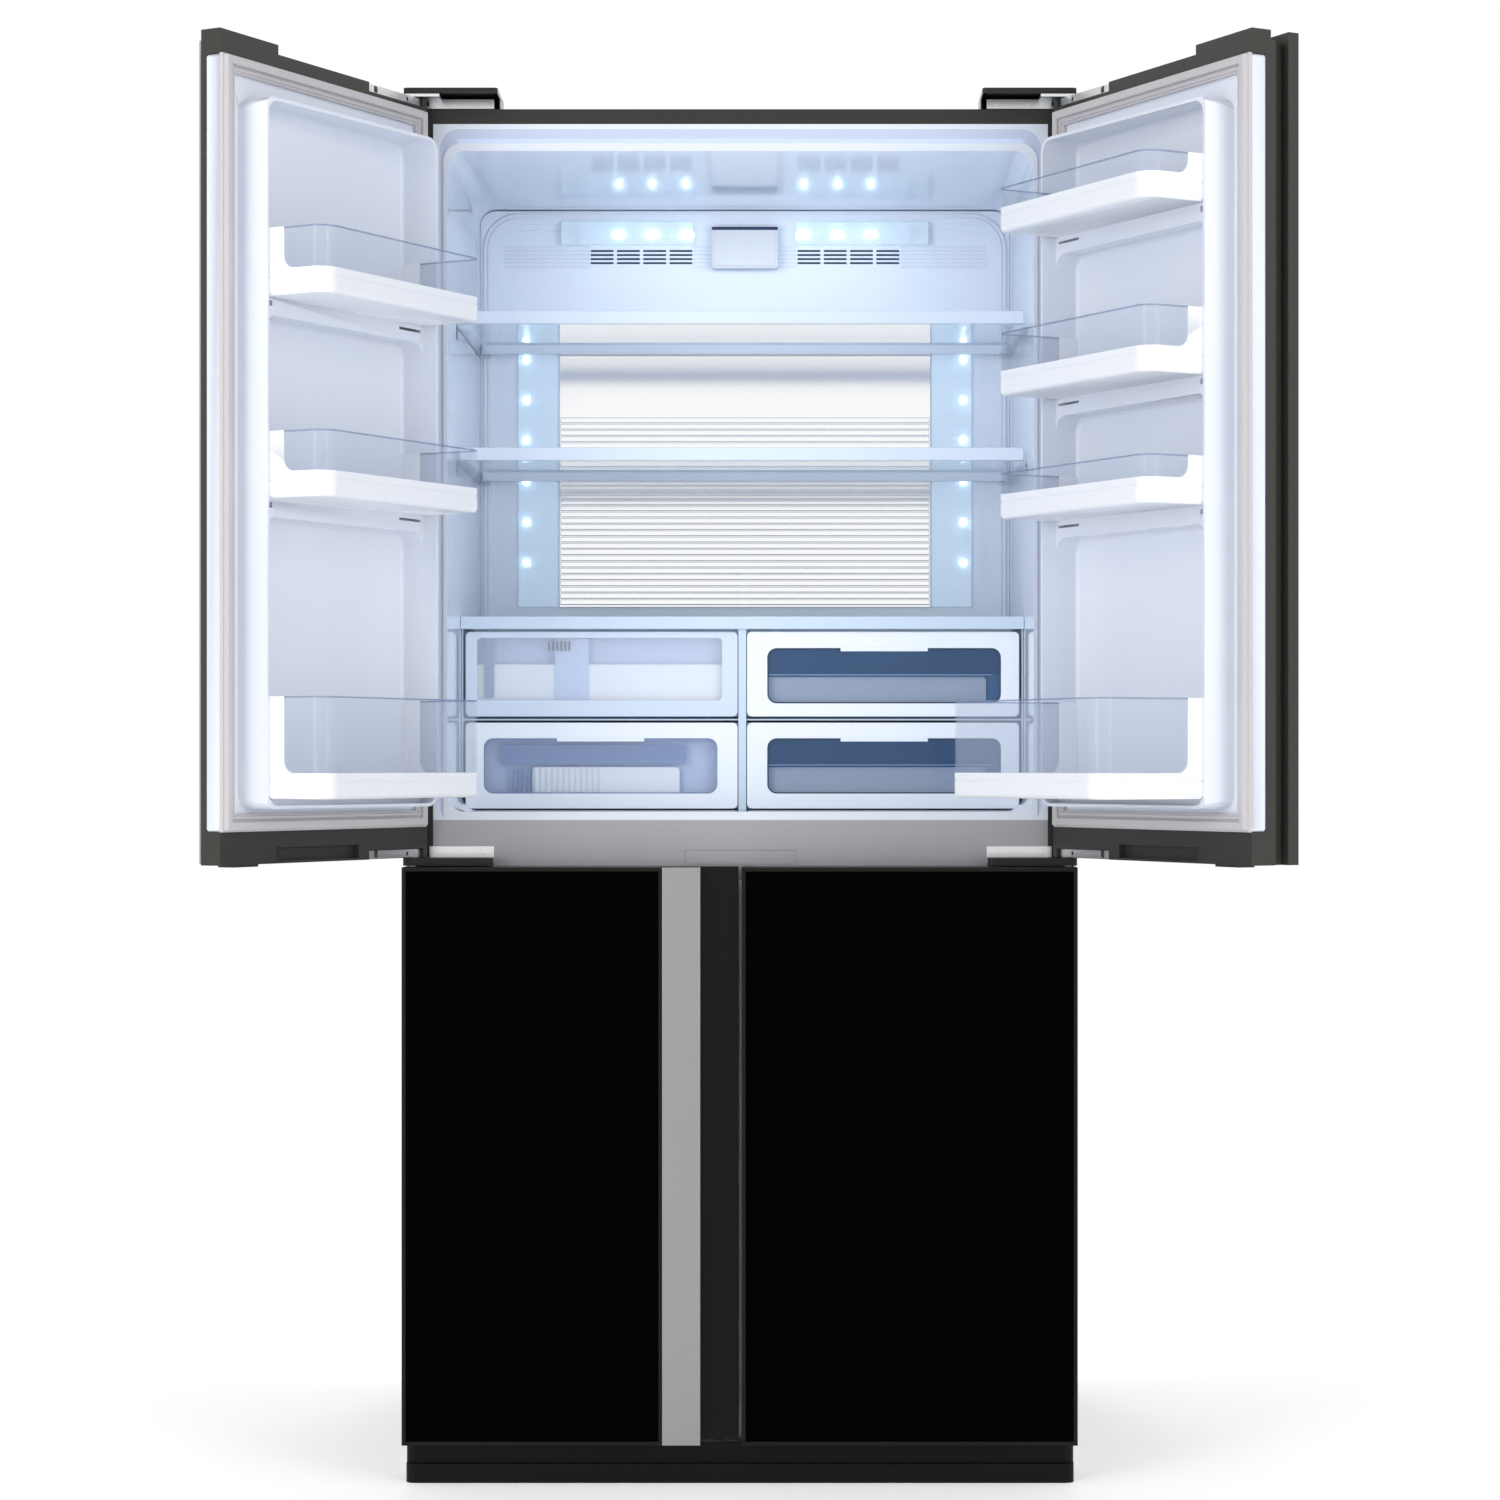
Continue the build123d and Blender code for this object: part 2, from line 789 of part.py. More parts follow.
# Recess and two notches in the inner face of the upper doors' caps
def upper_cap_cuts(door):
    sill = door.low + stub_height
    x1 = notch_start + notch_length
    depth = door_back - notch_depth
    recess_end = cap_recess_start + cap_recess_length
    recess_front = door_back - cap_recess_depth
    recess = block(cap_recess_start, recess_end, recess_front, door_back, sill, sill + cap_recess_height)
    low_notch = block(notch_start, x1, depth, door_back, door.low, door.low + notch_height)
    high_notch = block(notch_start, x1, depth, door_back, door.high - notch_height, door.high)
    return recess + low_notch + high_notch


# The hollow that the foam of a door fills, and the hollow of its bottom cap
def door_hollow(door, with_strip):
    start = door_half_gap + groove_depth + shell_wall
    if with_strip:
        start = strip_start + strip_sheet + shell_wall
    front = glass_back + shell_wall
    hollow = block(start, door_end - shell_wall, front, skirt_front, door.seal_low, door.seal_high)
    if with_strip:
        leaf_start = door_half_gap + shell_wall
        leaf_inside = leaf_front + shell_wall
        hollow += block(leaf_start, start, leaf_inside, skirt_front, door.seal_low, door.seal_high)
    floor = door.low + 2 * shell_wall
    cap_end = hinge_x - 2 * shoulder_radius
    cap_back = skirt_front + shell_wall
    return hollow + block(start + shell_wall, cap_end, front + shell_wall, cap_back, floor, door.seal_low)


def glass_start(with_strip):
    if with_strip:
        return strip_start + strip_width + glass_strip_gap
    return door_half_gap + glass_rim


def door_shell(door, with_strip):
    outer_start = strip_start + strip_sheet if with_strip else door_half_gap
    shell = block(outer_start, door_end, door_front, skirt_front, door.low, door.high)
    if with_strip:
        shell += block(door_half_gap, outer_start, leaf_front, skirt_front, door.low, door.high)
    shell += block(door_half_gap, door_end, skirt_front, door_back, door.low, door.seal_low)
    shell += block(door_half_gap, door_end, skirt_front, door_back, door.seal_high, door.high)
    if door.lip > door.high:
        shell += upper_cap_pieces(door, outer_start)
        shell -= upper_cap_cuts(door)
    shell -= door_hollow(door, with_strip)
    x0 = glass_start(with_strip) - fit_gap
    rim = glass_rim - fit_gap
    shell -= block(x0, door_end - rim, door_front, glass_back, door.low + rim, door.lip - rim)
    if with_strip:
        strip_end = strip_start + strip_width
        shell -= block(outer_start, strip_end, door_front, door_front + strip_sheet, door.low, door.lip)
    else:
        groove_end = door_half_gap + groove_depth
        groove_front = door_front + lip_depth
        groove_back = groove_front + groove_width
        shell -= block(door_half_gap, groove_end, groove_front, groove_back, door.low, door.high)
    bore = pin_radius + bearing_gap
    depth = pin_length + pin_spare / 2
    return shell - pin_at(door.low, depth, bore) - pin_at(door.high, -depth, bore)


def door_glass(door, with_strip):
    x0 = glass_start(with_strip)
    return block(x0, door_end - glass_rim, door_front, glass_back, door.low + glass_rim, door.lip - glass_rim)


# Aluminium angle: the bright face and the side of the finger pocket
def handle_strip(door):
    strip_end = strip_start + strip_width
    face = block(strip_start, strip_end, door_front, door_front + strip_sheet, door.low, door.lip)
    side = block(strip_start, strip_start + strip_sheet, door_front, leaf_front, door.low, door.high)
    return face + side


# Raised part of a liner, drawn in by inset: a sloping free flank and a crest that rises to the hinge
def dyke_form(door, inset):
    x0 = door.dyke_start + inset
    x1 = dyke_end - inset
    y0 = door_back - inset
    z0 = door.dyke_low + inset
    z1 = door.dyke_high - inset
    free, hinge = door.reach
    crest = (door.crest_start + inset, free - inset)
    outline = Polyline((x0, y0), crest, (x1, hinge - inset), (x1, y0), close=True)
    wedge = extrude(Pos(0, 0, z0) * make_face(outline), z1 - z0)
    return wedge & deep_prism(x0, x1, z0, z1, y0, hinge, dyke_radius - inset)


# Ledges across the recess that carry the bins of an upper door
def bin_ledges(door, bin_sizes):
    levels = [low for low, _, _ in bin_sizes]
    spans = [(low - ledge_height, low) for low in levels[:-1]]
    spans.append((door.dyke_low + crest_width, levels[-1]))
    x0 = door.crest_start + crest_width
    x1 = dyke_end - crest_width
    return [block(x0, x1, -recess_depth, ledge_reach, low, high - fit_gap) for low, high in spans]


# Vacuum-formed liner: edge skirt, flat seat for the gasket, raised dyke and sunk middle
def door_liner(door, bin_sizes):
    skin = liner_wall
    form = block(door_half_gap, door_end, skirt_front, door_back, door.seal_low, door.seal_high)
    form += dyke_form(door, 0)
    edge_x = (door_half_gap + skin, door_end - skin)
    inside = block(*edge_x, skirt_front, door_back - skin, door.seal_low + skin, door.seal_high - skin)
    inside += dyke_form(door, skin)
    reach = max(door.reach)
    sink_x = (door.crest_start + crest_width, dyke_end - crest_width)
    sink_z = (door.dyke_low + crest_width, door.dyke_high - crest_width)
    pan_x = (sink_x[0] - skin, sink_x[1] + skin)
    pan_z = (sink_z[0] - skin, sink_z[1] + skin)
    pan = deep_prism(*pan_x, *pan_z, door_back, reach, recess_radius + skin) & dyke_form(door, 0)
    pan += deep_prism(*pan_x, *pan_z, -recess_depth - skin, door_back, recess_radius + skin)
    sink = deep_prism(*sink_x, *sink_z, -recess_depth, reach, recess_radius)
    liner = form - inside + pan - sink
    if bin_sizes:
        for ledge in bin_ledges(door, bin_sizes):
            liner += ledge
    return liner


def door_gasket(door):
    x0 = gasket_half_gap
    x1 = half_width - gasket_side_inset
    width = gasket_width
    ring = block(x0, x1, door_back, -fit_gap, door.seal_low, door.seal_high)
    low = door.seal_low + width
    high = door.seal_high - width
    return ring - block(x0 + width, x1 - width, door_back, -fit_gap, low, high)


# Door bins, drawn closed on the right side

# Plan of a bin, drawn in by inset: a large corner at the free end, a small one at the hinge
def bin_plan(reach, inset):
    x0 = bin_start + inset
    x1 = bin_stop - inset
    y0 = bin_back + inset
    y1 = reach - inset
    big = bin_corner - inset
    small = bin_small_corner - inset
    return make_face([
        Line((x0, y0), (x0, y1 - big)),
        CenterArc((x0 + big, y1 - big), big, 180, -90),
        Line((x0 + big, y1), (x1 - small, y1)),
        CenterArc((x1 - small, y1 - small), small, 90, -90),
        Line((x1, y1 - small), (x1, y0)),
        Line((x1, y0), (x0, y0)),
    ])


# The space over a bin's plan, from low up to high
def bin_block(reach, inset, low, high):
    return extrude(Pos(0, 0, low) * bin_plan(reach, inset), high - low)


# White tray with a floor, a low rim and two full-height ends beside the liner
def bin_tray(low, height, reach):
    floor = low + bin_wall
    tray = bin_block(reach, 0, low, low + bin_rim) - bin_block(reach, bin_wall, floor, low + bin_rim)
    for x, depth in ((bin_start, free_end_depth), (bin_stop - bin_wall, hinge_end_depth)):
        tray += block(x, x + bin_wall, bin_back, bin_back + depth, low, low + height)
    return tray


# Clear guard that stands on the tray's rim between the two ends
def bin_guard(tray_low, height, reach):
    low = tray_low + bin_rim
    high = tray_low + height
    ring = bin_block(reach, 0, low, high) - bin_block(reach, bin_wall, low, high)
    middle = (bin_start + bin_stop) / 2
    ring -= block(bin_start, middle, bin_back, bin_back + free_end_depth + fit_gap, low, high)
    return ring - block(middle, bin_stop, bin_back, bin_back + hinge_end_depth + fit_gap, low, high)


def egg_tray():
    tray_low, _, reach = right_bin_sizes[0]
    low = tray_low + bin_wall
    high = low + egg_tray_height
    hollow = bin_block(reach, egg_tray_inset + egg_tray_wall, low + egg_tray_wall, high)
    return bin_block(reach, egg_tray_inset, low, high) - hollow


# Shelves

def shelf_pane(top):
    half = shelf_half - shelf_bite / 2
    y0 = shelf_front + front_trim_depth - shelf_bite
    return block(-half, half, y0, shelf_rear - rear_trim_depth + shelf_bite, top - shelf_glass, top)


# Front and rear trims, rebated for the pane
def shelf_trim(top):
    low = top - trim_height
    front = block(-shelf_half, shelf_half, shelf_front, shelf_front + front_trim_depth, low, top)
    rear = block(-shelf_half, shelf_half, shelf_rear - rear_trim_depth, shelf_rear, low, top)
    return [front - shelf_pane(top), rear - shelf_pane(top)]


# Clear bracket on the right wall: a ledge under both trims and a hook in front
def shelf_bracket(top):
    high = top - trim_height
    x0 = shelf_half - bracket_ledge
    ledge = block(x0, cavity_half, shelf_front, shelf_rear, high - bracket_height, high)
    hook = block(x0, cavity_half, shelf_front, shelf_front + hook_depth, high - hook_height, high)
    return ledge + hook


# Rear panel of the cooling compartment

def vent_slots():
    slots = []
    back = duct_front + duct_sheet
    for row in range(vent_rows):
        low = fridge_ceiling - vent_drop + row * vent_pitch
        for column in range(vent_columns):
            x0 = vent_inner + column * vent_column_pitch
            slots.append(block(x0, x0 + vent_width, duct_front, back, low, low + vent_height))
    return slots


def duct_panel():
    x1 = cavity_half - duct_gap
    low = fridge_floor + duct_gap
    high = fridge_ceiling - duct_gap
    wall = duct_sheet
    radius = cavity_radius - duct_gap
    panel = deep_prism(-x1, x1, low, high, duct_front, fridge_depth, radius)
    back = duct_front + wall
    panel -= deep_prism(wall - x1, x1 - wall, low + wall, high - wall, back, fridge_depth, radius - wall)
    for slot in vent_slots():
        for cut in both(slot):
            panel -= cut
    return panel


# Mirror sheet with level ribs below a plain band
def cooling_panel():
    panel = block(-mirror_half, mirror_half, mirror_front, duct_front, mirror_low, mirror_high)
    for row in range(rib_count):
        z = mirror_low + (row + 0.5) * rib_pitch
        panel += block(-mirror_half, mirror_half, mirror_front - rib_depth, mirror_front, z, z + rib_height)
    return panel


# A clear tray-shaped cover on the rear panel
def light_cover(x0, x1, low, high, depth):
    wall = clear_wall
    front = duct_front - depth
    cover = deep_prism(x0, x1, low, high, front, duct_front, 2 * wall)
    return cover - deep_prism(x0 + wall, x1 - wall, low + wall, high - wall, front + wall, duct_front, wall)


def lamp_levels():
    high = fridge_ceiling - lamp_drop
    return high - lamp_height, high


def light_covers():
    column = light_cover(column_start, column_start + column_width, mirror_low, mirror_high, column_depth)
    lamp = light_cover(lamp_inner, lamp_inner + lamp_width, *lamp_levels(), lamp_depth)
    return both(column) + both(lamp)


def chip_span(centre):
    return centre - chip_size / 2, centre + chip_size / 2


# A strip board on the rear panel with light chips at the given centres
def light_board(x0, x1, low, high, centres):
    front = duct_front - board_sheet
    board = block(x0, x1, front, duct_front, low, high)
    for x, z in centres:
        board += block(*chip_span(x), front - chip_height, front, *chip_span(z))
    return board


def column_board():
    low = mirror_low + board_margin
    high = mirror_high - board_margin
    step = (high - low) / column_chips
    middle = column_start + column_width / 2
    centres = [(middle, low + (row + 0.5) * step) for row in range(column_chips)]
    return light_board(middle - board_margin, middle + board_margin, low, high, centres)


def lamp_board():
    low, high = lamp_levels()
    middle = (low + high) / 2
    x0 = lamp_inner + board_margin
    x1 = lamp_inner + lamp_width - board_margin
    step = (x1 - x0) / lamp_chips
    centres = [(x0 + (row + 0.5) * step, middle) for row in range(lamp_chips)]
    return light_board(x0, x1, middle - board_margin / 2, middle + board_margin / 2, centres)


# Control board in the machine room, on four standoffs, with its larger components
def control_board():
    front = machine_front + standoff_length
    rear = front + board_sheet
    board = block(control_x0, control_x1, front, rear, control_z0, control_z1)
    inset = 2 * standoff_radius
    for x in (control_x0 + inset, control_x1 - inset):
        for z in (control_z0 + inset, control_z1 - inset):
            board += rod((x, machine_front, z), (0, 1, 0), standoff_radius, standoff_length)
    x0 = control_x0 + control_margin
    z0 = control_z0 + control_margin
    board += block(x0, x0 + transformer_size, rear, rear + transformer_height, z0, z0 + transformer_size)
    z1 = control_z1 - connector_drop
    board += block(x0, control_x1 - control_margin, rear, rear + connector_height, z1, z1 + connector_size)
    for row in range(2):
        x = control_x1 - control_margin - capacitor_radius - row * capacitor_pitch
        board += rod((x, rear, z0 + transformer_size / 2), (0, 1, 0), capacitor_radius, capacitor_height)
    return board


def circuit_boards():
    return both(column_board()) + both(lamp_board()) + [control_board()]


def ionizer_box():
    high = fridge_ceiling - ionizer_drop
    low = high - ionizer_height
    front = duct_front - ionizer_depth
    return deep_prism(-ionizer_half, ionizer_half, low, high, front, duct_front, ionizer_radius)


# Crispers

# Glass on the crisper cover, grown by grow where its rebate is cut
def crisper_pane(grow=0.0):
    high = fridge_floor + crisper_cover_high
    half = cavity_half - crisper_cover_side + cover_pane_bite + grow
    y0 = crisper_cover_front + crisper_cover_edge - cover_pane_bite - grow
    y1 = crisper_cover_rear - crisper_cover_edge + cover_pane_bite + grow
    return block(-half, half, y0, y1, high - shelf_glass, high)


# Frame with a cover, a centre pillar, thin sides and a plate under the upper crispers
def crisper_frame():
    low = fridge_floor + crisper_cover_low
    high = fridge_floor + crisper_cover_high
    plate_low = fridge_floor + divider_low
    edge = cavity_half - fit_gap
    inner = edge - crisper_cover_side
    y0 = crisper_cover_front + crisper_cover_edge
    y1 = crisper_cover_rear - crisper_cover_edge
    frame = block(-edge, edge, crisper_cover_front, crisper_cover_rear, low, high)
    frame -= block(-inner, inner, y0, y1, low, high)
    frame += block(-pillar_half, pillar_half, crisper_front, y1, fridge_floor, high - shelf_glass)
    frame += block(-edge, edge, y0, y1, plate_low, plate_low + divider_sheet)
    for side in both(block(edge - frame_side, edge, y0, y1, fridge_floor + cavity_radius, low)):
        frame += side
    return frame - crisper_pane(fit_gap)


# A block whose lower outer edge is rounded, to clear the liner's corner
def rounded_foot(x0, x1, y0, y1, z0, z1, radius):
    body = block(x0, x1, y0, y1, z0, z1)
    edge = body.edges().filter_by(Axis.Y).group_by(Axis.Z)[0].sort_by(Axis.X)[-1]
    return fillet(edge, radius)


# Right crisper: open tub, front panel with a window recess and two runners
def crisper(low, high, seat, radius, sill):
    x0 = crisper_start
    x1 = crisper_end
    wall = crisper_wall
    inside_front = crisper_front + crisper_panel
    inside_rear = crisper_rear - wall
    body = rounded_foot(x0, x1, crisper_front, crisper_rear, low, high, radius)
    body -= rounded_foot(x0 + wall, x1 - wall, inside_front, inside_rear, low + wall, high, radius - wall)
    z0 = low + sill
    window_back = crisper_front + window_depth
    body -= block(x0 + window_inner, x1 - window_outer, crisper_front, window_back, z0, z0 + window_height)
    for x in (x0 + runner_inset, x1 - runner_inset):
        body += block(x, x + runner_width, inside_front, inside_rear, seat + fit_gap, low + wall / 2)
    return body


def lower_crisper():
    low = fridge_floor + lower_crisper_low
    high = fridge_floor + lower_crisper_high
    return crisper(low, high, fridge_floor, lower_crisper_radius, lower_window_sill)


def upper_crisper():
    low = fridge_floor + upper_crisper_low
    high = fridge_floor + upper_crisper_high
    seat = fridge_floor + divider_low + divider_sheet
    return crisper(low, high, seat, upper_crisper_radius, upper_window_sill)


# Freezer

# Right drawer: open box with a grip opening near the top of its front
def freezer_drawer(low, height):
    high = low + height
    x0 = partition_half + drawer_gap
    x1 = cavity_half - drawer_gap
    y1 = freezer_step_depth - drawer_gap
    wall = drawer_wall
    inside_front = drawer_front + wall
    tub = block(x0, x1, inside_front, y1, low, high)
    tub -= block(x0 + wall, x1 - wall, inside_front, y1 - wall, low + wall, high)
    middle = (x0 + x1) / 2
    top = high - grip_drop
    front = block(x0, x1, drawer_front, inside_front, low, high)
    front -= block(middle - grip_half, middle + grip_half, drawer_front, inside_front, top - grip_height, top)
    return [tub, front]


# Right panel before the evaporator, with level slots
def evaporator_panel():
    x0 = partition_half + fit_gap
    x1 = cavity_half - fit_gap
    y1 = panel_front + panel_sheet
    panel = block(x0, x1, panel_front, y1, freezer_step_level + fit_gap, freezer_ceiling - fit_gap)
    middle = (x0 + x1) / 2
    slot_x = (middle - panel_slot_half, middle + panel_slot_half)
    for row in range(panel_slots):
        z = freezer_step_level + (row + 1) * panel_slot_pitch
        panel -= block(*slot_x, panel_front, y1, z, z + panel_slot_height)
    return panel


# Motor, shaft and arms of a fan along +Z, with the rotor's middle at the origin
def fan_mount(radius, panel_level):
    back = hub_length / 2 + motor_gap
    mount = rod((0, 0, back), (0, 0, 1), motor_radius, motor_length)
    mount += rod((0, 0, -hub_length / 2), (0, 0, 1), fan_shaft, hub_length + motor_gap)
    reach = radius + fan_mount_reach
    half = arm_width / 2
    arm = block(motor_radius / 2, reach, -half, half, back, back + arm_sheet)
    arm += block(reach - arm_width, reach, -half, half, min(back, panel_level), back + arm_sheet)
    for turn in range(fan_arms):
        mount += Rot(Z=90 + 360 * turn / fan_arms) * arm
    return mount


# Rotor round the origin, turning about Z
def fan_rotor(radius):
    rotor = rod((0, 0, -hub_length / 2), (0, 0, 1), fan_hub, hub_length)
    half = blade_sheet / 2
    blade = block(blade_root, radius, -half, half, -blade_chord / 2, blade_chord / 2)
    tilted = Rot(X=90 - blade_pitch) * blade
    for turn in range(fan_blades):
        rotor += Rot(Z=360 * turn / fan_blades) * tilted
    return rotor - rod((0, 0, -hub_length / 2), (0, 0, 1), fan_shaft + bearing_gap, hub_length)


# Places of the two fans, each with its axis from the rotor to the motor
def freezer_fan_place():
    origin = (freezer_fan_x, freezer_fan_y, freezer_fan_level)
    return Plane(origin=origin, x_dir=(1, 0, 0), z_dir=(0, 1, 0)).location


def machine_fan_place():
    origin = (machine_fan_x, compressor_y, machine_fan_level)
    return Plane(origin=origin, x_dir=(0, 1, 0), z_dir=(-1, 0, 0)).location


def freezer_panels():
    right = evaporator_panel()
    left = mirrored(right)
    start = (freezer_fan_x, panel_front, freezer_fan_level)
    right -= rod(start, (0, 1, 0), freezer_fan_radius + fan_opening_gap, panel_sheet)
    panel_level = panel_front + panel_sheet - freezer_fan_y
    right += freezer_fan_place() * fan_mount(freezer_fan_radius, panel_level)
    return [right, left]


def evaporator():
    quarter = (coil_rear - coil_front) / 4
    fin_step = (coil_outer - coil_inner - end_sheet) / (fin_count + 1)
    row_step = (coil_high - coil_low) / coil_rows
    low = coil_low - 2 * heater_drop
    wall = freezer_depth - fit_gap
    coil = block(coil_inner, coil_inner + end_sheet, coil_front, wall, low, coil_high)
    coil += block(coil_outer - end_sheet, coil_outer, coil_front, wall, low, coil_high)
    for index in range(fin_count):
        x = coil_inner + (index + 1) * fin_step
        coil += block(x, x + fin_sheet, coil_front, coil_rear, coil_low, coil_high)
    for row in range(coil_rows):
        z = coil_low + (row + 0.5) * row_step
        for y in (coil_front + quarter, coil_rear - quarter):
            coil += rod((coil_inner, y, z), (1, 0, 0), tube_radius, coil_outer - coil_inner)
    return coil


def defrost_heater():
    start = (coil_inner + end_sheet, (coil_front + coil_rear) / 2, coil_low - heater_drop)
    return rod(start, (1, 0, 0), heater_radius, coil_outer - coil_inner - 2 * end_sheet)


# Machine room

def compressor():
    low = machine_floor + grommet_height
    top = low + compressor_plate
    x = compressor_x
    y = compressor_y
    can = rod((x, y, top), (0, 0, 1), compressor_radius, compressor_height)
    body = fillet(can.edges().group_by(Axis.Z)[-1], compressor_round)
    body += block(x - plate_half_x, x + plate_half_x, y - plate_half_y, y + plate_half_y, low, top)
    pieces = [body]
    for dx in (grommet_radius - plate_half_x, plate_half_x - grommet_radius):
        for dy in (grommet_radius - plate_half_y, plate_half_y - grommet_radius):
            pieces.append(rod((x + dx, y + dy, machine_floor), (0, 0, 1), grommet_radius, grommet_height))
    return pieces


def drip_tray():
    low = machine_floor + grommet_height + compressor_plate + compressor_height
    high = low + tray_height
    x = compressor_x
    y = compressor_y
    inner = tray_half - tray_wall
    tray = block(x - tray_half, x + tray_half, y - tray_half, y + tray_half, low, high)
    return tray - block(x - inner, x + inner, y - inner, y + inner, low + tray_wall, high)


# Fin coil with its end plates on the floor of the machine room
def condenser_coil():
    x0 = condenser_inner
    x1 = condenser_outer
    low = machine_floor + condenser_foot
    fin_step = (condenser_rear - condenser_front - end_sheet) / (fin_count + 1)
    coil = block(x0, x1, condenser_front, condenser_front + end_sheet, machine_floor, condenser_high)
    coil += block(x0, x1, condenser_rear - end_sheet, condenser_rear, machine_floor, condenser_high)
    for index in range(fin_count):
        y = condenser_front + (index + 1) * fin_step
        coil += block(x0, x1, y, y + fin_sheet, low, condenser_high)
    column_step = (x1 - x0) / coil_rows
    row_step = (condenser_high - low) / coil_rows
    for column in range(coil_rows):
        x = x0 + (column + 0.5) * column_step
        for row in range(coil_rows):
            z = low + (row + 0.5) * row_step
            coil += rod((x, condenser_front, z), (0, 1, 0), tube_radius, condenser_rear - condenser_front)
    return coil


# Upright plate with the air opening, and the fan's motor on its arms
def machine_fan_shroud():
    opening = machine_fan_radius + fan_opening_gap
    reach = machine_fan_radius + fan_mount_reach
    level = hub_length / 2 + motor_gap
    x1 = machine_fan_x - level
    x0 = x1 - arm_sheet
    high = machine_fan_level + reach
    plate = block(x0, x1, compressor_y - reach, compressor_y + reach, machine_floor, high)
    plate -= rod((x0, compressor_y, machine_fan_level), (1, 0, 0), opening, arm_sheet)
    return plate + machine_fan_place() * fan_mount(machine_fan_radius, level)


# Rear cover of the machine room with two groups of air slots
def machine_cover():
    low = machine_floor - base_sheet
    cover = block(-case_inner, case_inner, room_rear, cabinet_depth, low, machine_top)
    slot_x = (cover_slot_inner, cover_slot_inner + cover_slot_width)
    for row in range(cover_slots):
        z = cover_slot_low + row * cover_slot_pitch
        for cut in both(block(*slot_x, room_rear, cabinet_depth, z, z + cover_slot_height)):
            cover -= cut
    return cover


# Placing and saving: side is 1 on the right and -1 on the left

def placed(piece, side, is_open):
    if side < 0:
        piece = mirrored(piece)
    return swung(piece, side) if is_open else piece


def save_door(name, door, side, bin_sizes=()):
    with_strip = side < 0
    pieces = {
        "shell": door_shell(door, with_strip),
        "glass": door_glass(door, with_strip),
        "liner": door_liner(door, bin_sizes),
        "gasket": door_gasket(door),
    }
    if with_strip:
        pieces["handle_strip"] = handle_strip(door)
    for label, piece in pieces.items():
        save(f"{name}_{label}", placed(piece, side, door is upper_door))


def save_pair(name, piece):
    save(f"{name}_right", piece)
    save(f"{name}_left", mirrored(piece))


def save_bins(name, sizes, side):
    trays = [placed(bin_tray(*size), side, True) for size in sizes]
    guards = [placed(bin_guard(*size), side, True) for size in sizes]
    save(f"{name}_bins", *trays)
    save(f"{name}_bin_guards", *guards)


os.makedirs("parts", exist_ok=True)

save("outer_case", outer_case())
save("rear_panel", rear_panel())
save("cabinet_foam", cabinet_foam())
save("fridge_liner", fridge_liner())
save("freezer_liner", freezer_liner())
save("centre_frame", centre_frame())
save("base_frame", *base_frame())
save("plinth", plinth())
save_pair("foot", foot())
save_pair("roller", roller())

save("hinge_brackets", *both(top_hinge()), *both(middle_hinge()), *both(bottom_hinge()))
save("hinge_covers", *both(top_hinge_cover()), *both(middle_hinge_cover()))

save("shelf_panes", *[shelf_pane(top) for top in shelf_levels], crisper_pane())
save("shelf_trims", *[trim for top in shelf_levels for trim in shelf_trim(top)])
brackets = [bracket for top in shelf_levels for bracket in both(shelf_bracket(top))]
rails = [rail for low in drawer_lows for right in drawer_rails(low) for rail in both(right)]
save("shelf_brackets", *brackets, *rails)
save("duct_panel", duct_panel())
save("cooling_panel", cooling_panel())
save("light_covers", *light_covers())
save("circuit_boards", *circuit_boards())
save("ionizer_box", ionizer_box())
save("crisper_frame", crisper_frame())
save_pair("crisper_lower", lower_crisper())
save_pair("crisper_upper", upper_crisper())

drawers = [freezer_drawer(*size) for size in zip(drawer_lows, drawer_heights)]
save("freezer_drawers", *[piece for drawer in drawers for right in drawer for piece in both(right)])
save("freezer_panel", *freezer_panels())
save("evaporator_fan", freezer_fan_place() * fan_rotor(freezer_fan_radius))
save("evaporator", evaporator())
save("defrost_heater", defrost_heater())

save("compressor", *compressor())
save("drip_tray", drip_tray())
save("condenser", condenser_coil(), machine_fan_shroud())
save("condenser_fan", machine_fan_place() * fan_rotor(machine_fan_radius))
save("machine_cover", machine_cover())

save_door("upper_left", upper_door, -1, left_bin_sizes)
save_door("upper_right", upper_door, 1, right_bin_sizes)
save_door("lower_left", lower_door, -1)
save_door("lower_right", lower_door, 1)
save_bins("left", left_bin_sizes, -1)
save_bins("right", right_bin_sizes, 1)
save("egg_tray", placed(egg_tray(), 1, True))
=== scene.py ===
import json
import math
import bmesh
import bpy
from mathutils import Matrix, Vector

